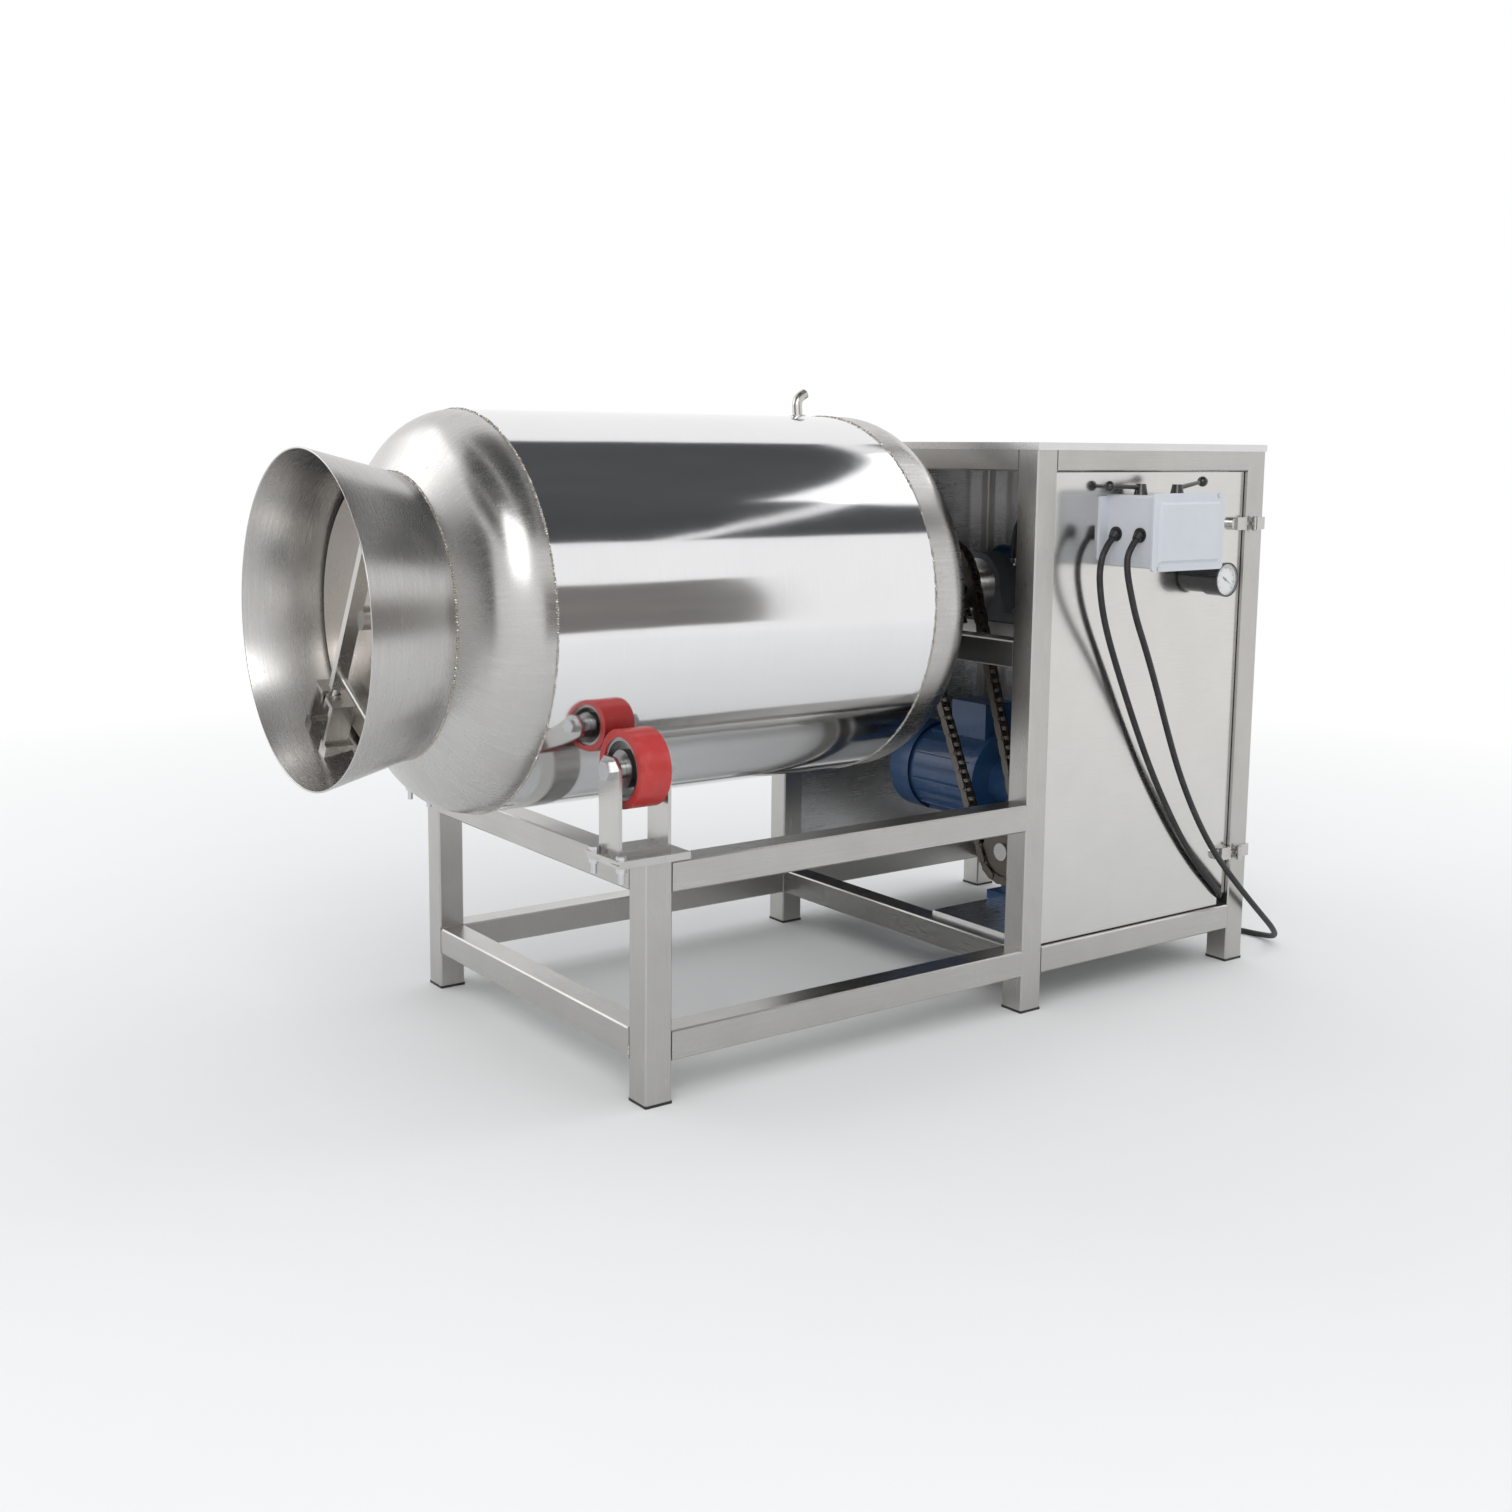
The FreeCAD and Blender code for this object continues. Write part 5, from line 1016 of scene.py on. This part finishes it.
@dataclass
class Door:
    """The sheet door with its switch boxes, levers, glands and vacuum gauge."""

    layout: Layout
    gauge_y: float = 1284.0
    gauge_z: float = 794.0
    tick_in: float = 0.0225
    tick_out: float = 0.0265
    long_more: float = 0.003
    long_half: float = 0.0005
    short_half: float = 0.0003
    print_stand: float = 0.0002
    print_t: float = 0.0001
    ticks: int = 41
    long_every: int = 5
    first_angle: float = 225.0
    sweep: float = 270.0

    def scale(self) -> bpy.types.Object:
        """Printed marks of the gauge's scale.

        Returns:
            The piece.
        """
        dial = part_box("gauge_dial")
        face = dial[1][0] + self.print_stand
        centre = self.layout.spot(0, self.gauge_y, self.gauge_z)
        strips = bmesh.new()
        for i in range(self.ticks):
            long_ = i % self.long_every == 0
            angle = math.radians(self.first_angle - self.sweep * i / (self.ticks - 1))
            out = Vector((0, math.cos(angle), math.sin(angle)))
            half = self.long_half if long_ else self.short_half
            side = Vector((0, -math.sin(angle), math.cos(angle))) * half
            start = self.tick_in - (self.long_more if long_ else 0.0)
            corners = [out * start - side, out * self.tick_out - side, out * self.tick_out + side,
                       out * start + side]
            spots = [Vector((face, centre.y, centre.z)) + c for c in corners]
            low = [strips.verts.new(s) for s in spots]
            high = [strips.verts.new(s + Vector((self.print_t, 0, 0))) for s in spots]
            strips.faces.new(low[::-1])
            strips.faces.new(high)
            for j in range(4):
                strips.faces.new((low[j], low[(j + 1) % 4], high[(j + 1) % 4], high[j]))
        return from_bmesh("gauge_scale", strips)

    def build(self) -> None:
        """Dresses the door."""
        dress(DOOR_SHEET, "door_panel")
        dress(BOX_GREY, "switch_boxes", "switch_cover")
        dress(LEVER_BLACK, "lever_inner", "lever_outer", "gauge_case")
        dress(RUBBER, "cable_grommets")
        dress(GAUGE_WHITE, "gauge_dial")
        dress(Window(), "gauge_lens")
        dress(PLUG_BLACK, "gauge_pointer")
        wear(self.scale(), PLUG_BLACK, "door", "pointer_black")


# ---------------------------------------------------------------- cables and hose
@dataclass
class Cables:
    """The two cables of the door and the suction hose inside the cabinet."""

    layout: Layout
    cable: float = 0.006
    hose: float = 0.011
    coil_centre: tuple[float, float] = (40.0, 1572.0)
    coil_radii: tuple[float, ...] = (72.0, 60.0, 60.0, 72.0, 60.0, 72.0)
    coil_heights: tuple[float, ...] = (6.1, 6.1, 18.2, 18.2, 30.3, 30.3)
    steps: int = 16
    skipped: int = 2
    added: int = 4
    step_from: float = 0.7
    coil_start: float = -48.0
    door_route: tuple[Point, ...] = (
        (408.5, 1003, 878), (408.5, 982, 857), (408, 973, 820), (407, 978, 782), (405, 991, 736),
        (402, 1013, 686), (399, 1050, 614), (397, 1098, 522), (395, 1150, 430), (393, 1203, 350),
        (391, 1259, 274), (390, 1318, 208), (390, 1362, 168), (388, 1394, 138), (362, 1399, 131))
    mains_route: tuple[Point, ...] = (
        (465.5, 1003, 878), (465.5, 982, 857), (469, 978, 822), (472, 988, 780), (469, 1008, 734),
        (463, 1044, 676), (452, 1090, 602), (440, 1140, 514), (430, 1192, 424), (422, 1256, 330),
        (415, 1328, 244), (412, 1408, 168), (410, 1480, 104), (402, 1546, 52), (372, 1598, 18),
        (318, 1618, 6), (256, 1606, 6), (200, 1568, 6), (152, 1530, 6), (94, 1512, 6))
    hose_route: tuple[Point, ...] = (
        (0, 1165, 813.5), (0, 1165, 850), (5, 1174, 893), (20, 1201, 932), (44, 1244, 948),
        (66, 1284, 932), (75, 1300, 898), (75, 1300, 862))

    def tube(self, name: str, route: Sequence[Point], radius: float) -> tuple[bpy.types.Object, float]:
        """A smooth cord on its route.

        Args:
            name: the piece's name.
            route: its points in the machine's millimetres.
            radius: the cord's radius in metres.

        Returns:
            The curve object and its length.
        """
        data = bpy.data.curves.new(name, "CURVE")
        data.dimensions = "3D"
        data.resolution_u = 8
        spline = data.splines.new("NURBS")
        spline.points.add(len(route) - 1)
        for point, place in zip(spline.points, route):
            point.co = (*self.layout.spot(*place), 1.0)
        spline.order_u = 3
        spline.use_endpoint_u = True
        made = bpy.data.objects.new(name, data)
        bpy.context.scene.collection.objects.link(made)
        line = bpy.data.meshes.new_from_object(made)
        spots = [v.co for v in line.vertices]
        length = sum((b - a).length for a, b in zip(spots, spots[1:]))
        data.bevel_depth = radius
        data.bevel_resolution = 5
        data.use_fill_caps = True
        return made, length

    def coil(self) -> list[Point]:
        """Points of the neat coil behind the cabinet, turn after turn.

        Returns:
            Points in the machine's millimetres.
        """
        points = []
        last = len(self.coil_radii) - 1
        total = len(self.coil_radii) * self.steps
        x, y = self.coil_centre
        for i in range(self.skipped, total + self.added):
            turn, part = divmod(i, self.steps)
            turn = min(turn, last)
            ahead = min(turn + 1, last)
            blend = max(0.0, part / self.steps - self.step_from) / (1 - self.step_from)
            blend = blend if i < total else 0.0
            radius = self.coil_radii[turn] + (self.coil_radii[ahead] - self.coil_radii[turn]) * blend
            height = self.coil_heights[turn] + (self.coil_heights[ahead] - self.coil_heights[turn]) * blend
            angle = math.radians(self.coil_start - 360 * i / self.steps)
            points.append((x + radius * math.cos(angle), y + radius * math.sin(angle), height))
        return points

    def build(self) -> None:
        specs = (
            ("door_lead", self.door_route, self.cable, "door", "black_rubber", ["door_cable"], "object",
             "hanging", "medium", []),
            ("mains_lead", (*self.mains_route, *self.coil()), self.cable, "frame", "black_rubber",
             ["mains_cable", "mains_coil"], "plug", "coiled", "limp", ["mains_plug"]),
            ("suction_hose", self.hose_route, self.hose, "frame", "hose_rubber", ["vacuum_hose"],
             "object", "hanging", "stiff", []))
        for name, route, radius, body, slot, nodes, far, lay, stiff, held in specs:
            piece, length = self.tube(name, route, radius)
            wear(piece, RUBBER, body, slot, *nodes)
            self.layout.spot(*route[0])
            2 * radius
            LOG.info("%s is %.3f m long", name, length)


# ---------------------------------------------------------------- studio
@dataclass
class Studio:
    """Floor, reflection cards, lamps, world and camera."""

    eye: tuple[float, float, float] = (2.49803, -1.91823, 1.03743)
    heading: float = 54.77
    pitch: float = 7.75
    roll: float = 0.46
    lens: float = 40.445
    shift: tuple[float, float] = (0.02126, -0.0510)
    near_floor: float = 1.3
    far_floor: float = 4.0
    floor_half: float = 30.0
    sky: Colour = (0.9, 0.92, 0.95)
    sky_level: float = 0.92
    aim: tuple[float, float, float] = (0.0, 0.0, 0.6)
    roof_cards: int = 5
    roof_start: float = -5.0
    roof_pitch: float = 2.35

    def camera(self) -> None:
        """Sets the camera."""
        turn, tilt, lean = (math.radians(a) for a in (self.heading, self.pitch, self.roll))
        ahead = Vector((-math.sin(turn) * math.cos(tilt), math.cos(turn) * math.cos(tilt), -math.sin(tilt)))
        right = ahead.cross(Vector((0, 0, 1))).normalized()
        above = right.cross(ahead)
        across = right * math.cos(lean) + above * math.sin(lean)
        upward = above * math.cos(lean) - right * math.sin(lean)
        data = bpy.data.cameras.new("view")
        data.lens = self.lens
        data.sensor_width = 36
        data.shift_x, data.shift_y = self.shift
        made = bpy.data.objects.new("view", data)
        basis = Matrix((across, upward, -ahead)).transposed().to_4x4()
        made.matrix_world = Matrix.Translation(Vector(self.eye)) @ basis
        bpy.context.scene.collection.objects.link(made)
        bpy.context.scene.camera = made

    def card(self, name: str, middle: Point, size: tuple[float, float], facing: Point,
             finish: Plain) -> None:
        """A sheet outside the view that the polished steel reflects.

        Args:
            name: its name.
            middle: its centre.
            size: its width and height.
            facing: the direction that it faces.
            finish: its finish.
        """
        shape = bmesh.new()
        turn = frame_along(Vector(facing))
        corners = [turn @ Vector((size[0] / 2 * a, size[1] / 2 * b, 0)) + Vector(middle)
                   for a, b in ((-1, -1), (1, -1), (1, 1), (-1, 1))]
        shape.faces.new([shape.verts.new(c) for c in corners])
        made = from_bmesh(name, shape)
        made.data.materials.append(finish_of(finish))
        made.visible_camera = False
        made.visible_shadow = False
        made.visible_diffuse = False

    def floor(self) -> None:
        """The pale floor."""
        shape = bmesh.new()
        bmesh.ops.create_grid(shape, x_segments=2, y_segments=2, size=self.floor_half)
        made = from_bmesh("studio_floor", shape)
        made.data.materials.append(self.floor_paint())

    def floor_paint(self) -> bpy.types.Material:
        """Pale paint that turns into the white of the background far from the machine.

        Returns:
            The material.
        """
        graph = Graph("floor_paint")
        x, y, _ = graph.split(graph.place())
        far = (((x * x + y * y).root() - self.near_floor) / (self.far_floor - self.near_floor)).clamp()
        seen = [graph.add("ShaderNodeLightPath", {}, {}, i) for i in (0, 3, 6)]
        colour = graph.mix(graph.noise(graph.place(), 1.4), (0.84, 0.84, 0.83), (0.80, 0.80, 0.79))
        paint = graph.add("ShaderNodeBsdfPrincipled", {}, {"Base Color": colour, "Roughness": 0.9})
        glow = graph.add("ShaderNodeEmission", {}, {"Color": (1, 1, 1, 1), "Strength": 1.0})
        factor = far * (seen[0] + seen[1] + seen[2]).clamp()
        ended = graph.add("ShaderNodeMixShader", {}, [factor, paint, glow])
        graph.node("ShaderNodeOutputMaterial", {}, [ended])
        return graph.material

    def lamp(self, name: str, place: Point, size: float, power: float) -> None:
        """A soft square lamp that looks at the machine.

        Args:
            name: its name.
            place: where it stands.
            size: its side.
            power: its watts.
        """
        data = bpy.data.lights.new(name, "AREA")
        data.shape = "SQUARE"
        data.size = size
        data.energy = power
        made = bpy.data.objects.new(name, data)
        made.location = place
        aim = Vector(self.aim) - Vector(place)
        made.rotation_euler = aim.to_track_quat("-Z", "Y").to_euler()
        bpy.context.scene.collection.objects.link(made)

    def world(self) -> None:
        """A soft grey world that is white where the camera, gloss or glass sees it."""
        world = bpy.data.worlds.new("studio")
        bpy.context.scene.world = world
        world.use_nodes = True
        nodes, links = world.node_tree.nodes, world.node_tree.links
        nodes.clear()
        path = nodes.new("ShaderNodeLightPath")
        seen = path.outputs["Is Camera Ray"]
        for output in ("Is Glossy Ray", "Is Transmission Ray"):
            both = nodes.new("ShaderNodeMath")
            both.operation = "MAXIMUM"
            links.new(seen, both.inputs[0])
            links.new(path.outputs[output], both.inputs[1])
            seen = both.outputs[0]
        dim, white, mix = (nodes.new(k) for k in ("ShaderNodeBackground", "ShaderNodeBackground",
                                                 "ShaderNodeMixShader"))
        dim.inputs[0].default_value = (*self.sky, 1)
        dim.inputs[1].default_value = self.sky_level
        white.inputs[0].default_value = (1, 1, 1, 1)
        white.inputs[1].default_value = 1.0
        links.new(seen, mix.inputs[0])
        links.new(dim.outputs[0], mix.inputs[1])
        links.new(white.outputs[0], mix.inputs[2])
        links.new(mix.outputs[0], nodes.new("ShaderNodeOutputWorld").inputs[0])

    def build(self) -> None:
        """Sets up the studio."""
        bpy.context.scene.view_settings.view_transform = "Standard"
        self.camera()
        self.floor()
        self.world()
        dark = Plain("dark_roof", (0.05, 0.05, 0.055), (0.10, 0.10, 0.10), 1.0)
        wall = Plain("warm_wall", (0.30, 0.28, 0.25), (0.16, 0.15, 0.14), 1.8)
        for i in range(self.roof_cards):
            middle = (1.4, self.roof_start + i * self.roof_pitch, 4.6)
            self.card(f"roof_card_{i}", middle, (6.0, 2.1), (0, 0, -1), dark)
        self.card("right_wall_card", (5.2, 1.6, 1.2), (3.6, 2.4), (-1, 0, 0), wall)
        self.card("front_dark_card", (-0.6, -5.2, 1.6), (3.0, 3.4), (0, 1, 0), dark)
        self.lamp("key", (3.2, -2.6, 3.6), 2.4, 60)
        self.lamp("fill", (-3.0, -2.4, 2.6), 2.6, 22)
        self.lamp("back", (0.6, 3.6, 3.4), 2.6, 26)


# ---------------------------------------------------------------- the whole machine
def soft_solids() -> None:
    """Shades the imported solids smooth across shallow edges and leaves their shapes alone."""
    group = bpy.data.node_groups.new("soft_shading", "GeometryNodeTree")
    for way in ("INPUT", "OUTPUT"):
        group.interface.new_socket(name="Geometry", in_out=way, socket_type="NodeSocketGeometry")
    nodes, links = group.nodes, group.links
    start, end = nodes.new("NodeGroupInput"), nodes.new("NodeGroupOutput")
    weld = nodes.new("GeometryNodeMergeByDistance")
    weld.inputs["Distance"].default_value = 1e-6
    flat = nodes.new("GeometryNodeSetShadeSmooth")
    edges = nodes.new("GeometryNodeSetShadeSmooth")
    edges.domain = "EDGE"
    angle = nodes.new("GeometryNodeInputMeshEdgeAngle")
    sharp = nodes.new("FunctionNodeCompare")
    sharp.data_type, sharp.operation = "FLOAT", "GREATER_THAN"
    sharp.inputs["B"].default_value = SHARP
    links.new(angle.outputs[0], sharp.inputs["A"])
    links.new(start.outputs[0], weld.inputs["Geometry"])
    links.new(weld.outputs[0], flat.inputs["Geometry"])
    links.new(flat.outputs[0], edges.inputs["Geometry"])
    links.new(sharp.outputs[0], edges.inputs["Selection"])
    edges.inputs["Shade Smooth"].default_value = False
    links.new(edges.outputs[0], end.inputs[0])
    for name in frame["nodes"]:
        bpy.data.objects[name].modifiers.new("soft", "NODES").node_group = group


def main() -> None:
    """Builds every part in order."""
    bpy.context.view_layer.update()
    layout = Layout.read()
    Studio().build()
    Cables(layout).build()
    Drum(layout).build()
    Frame(layout).build()
    Door(layout).build()
    soft_solids()


if __name__ == "__main__":
    logging.basicConfig(level=logging.INFO)
    main()
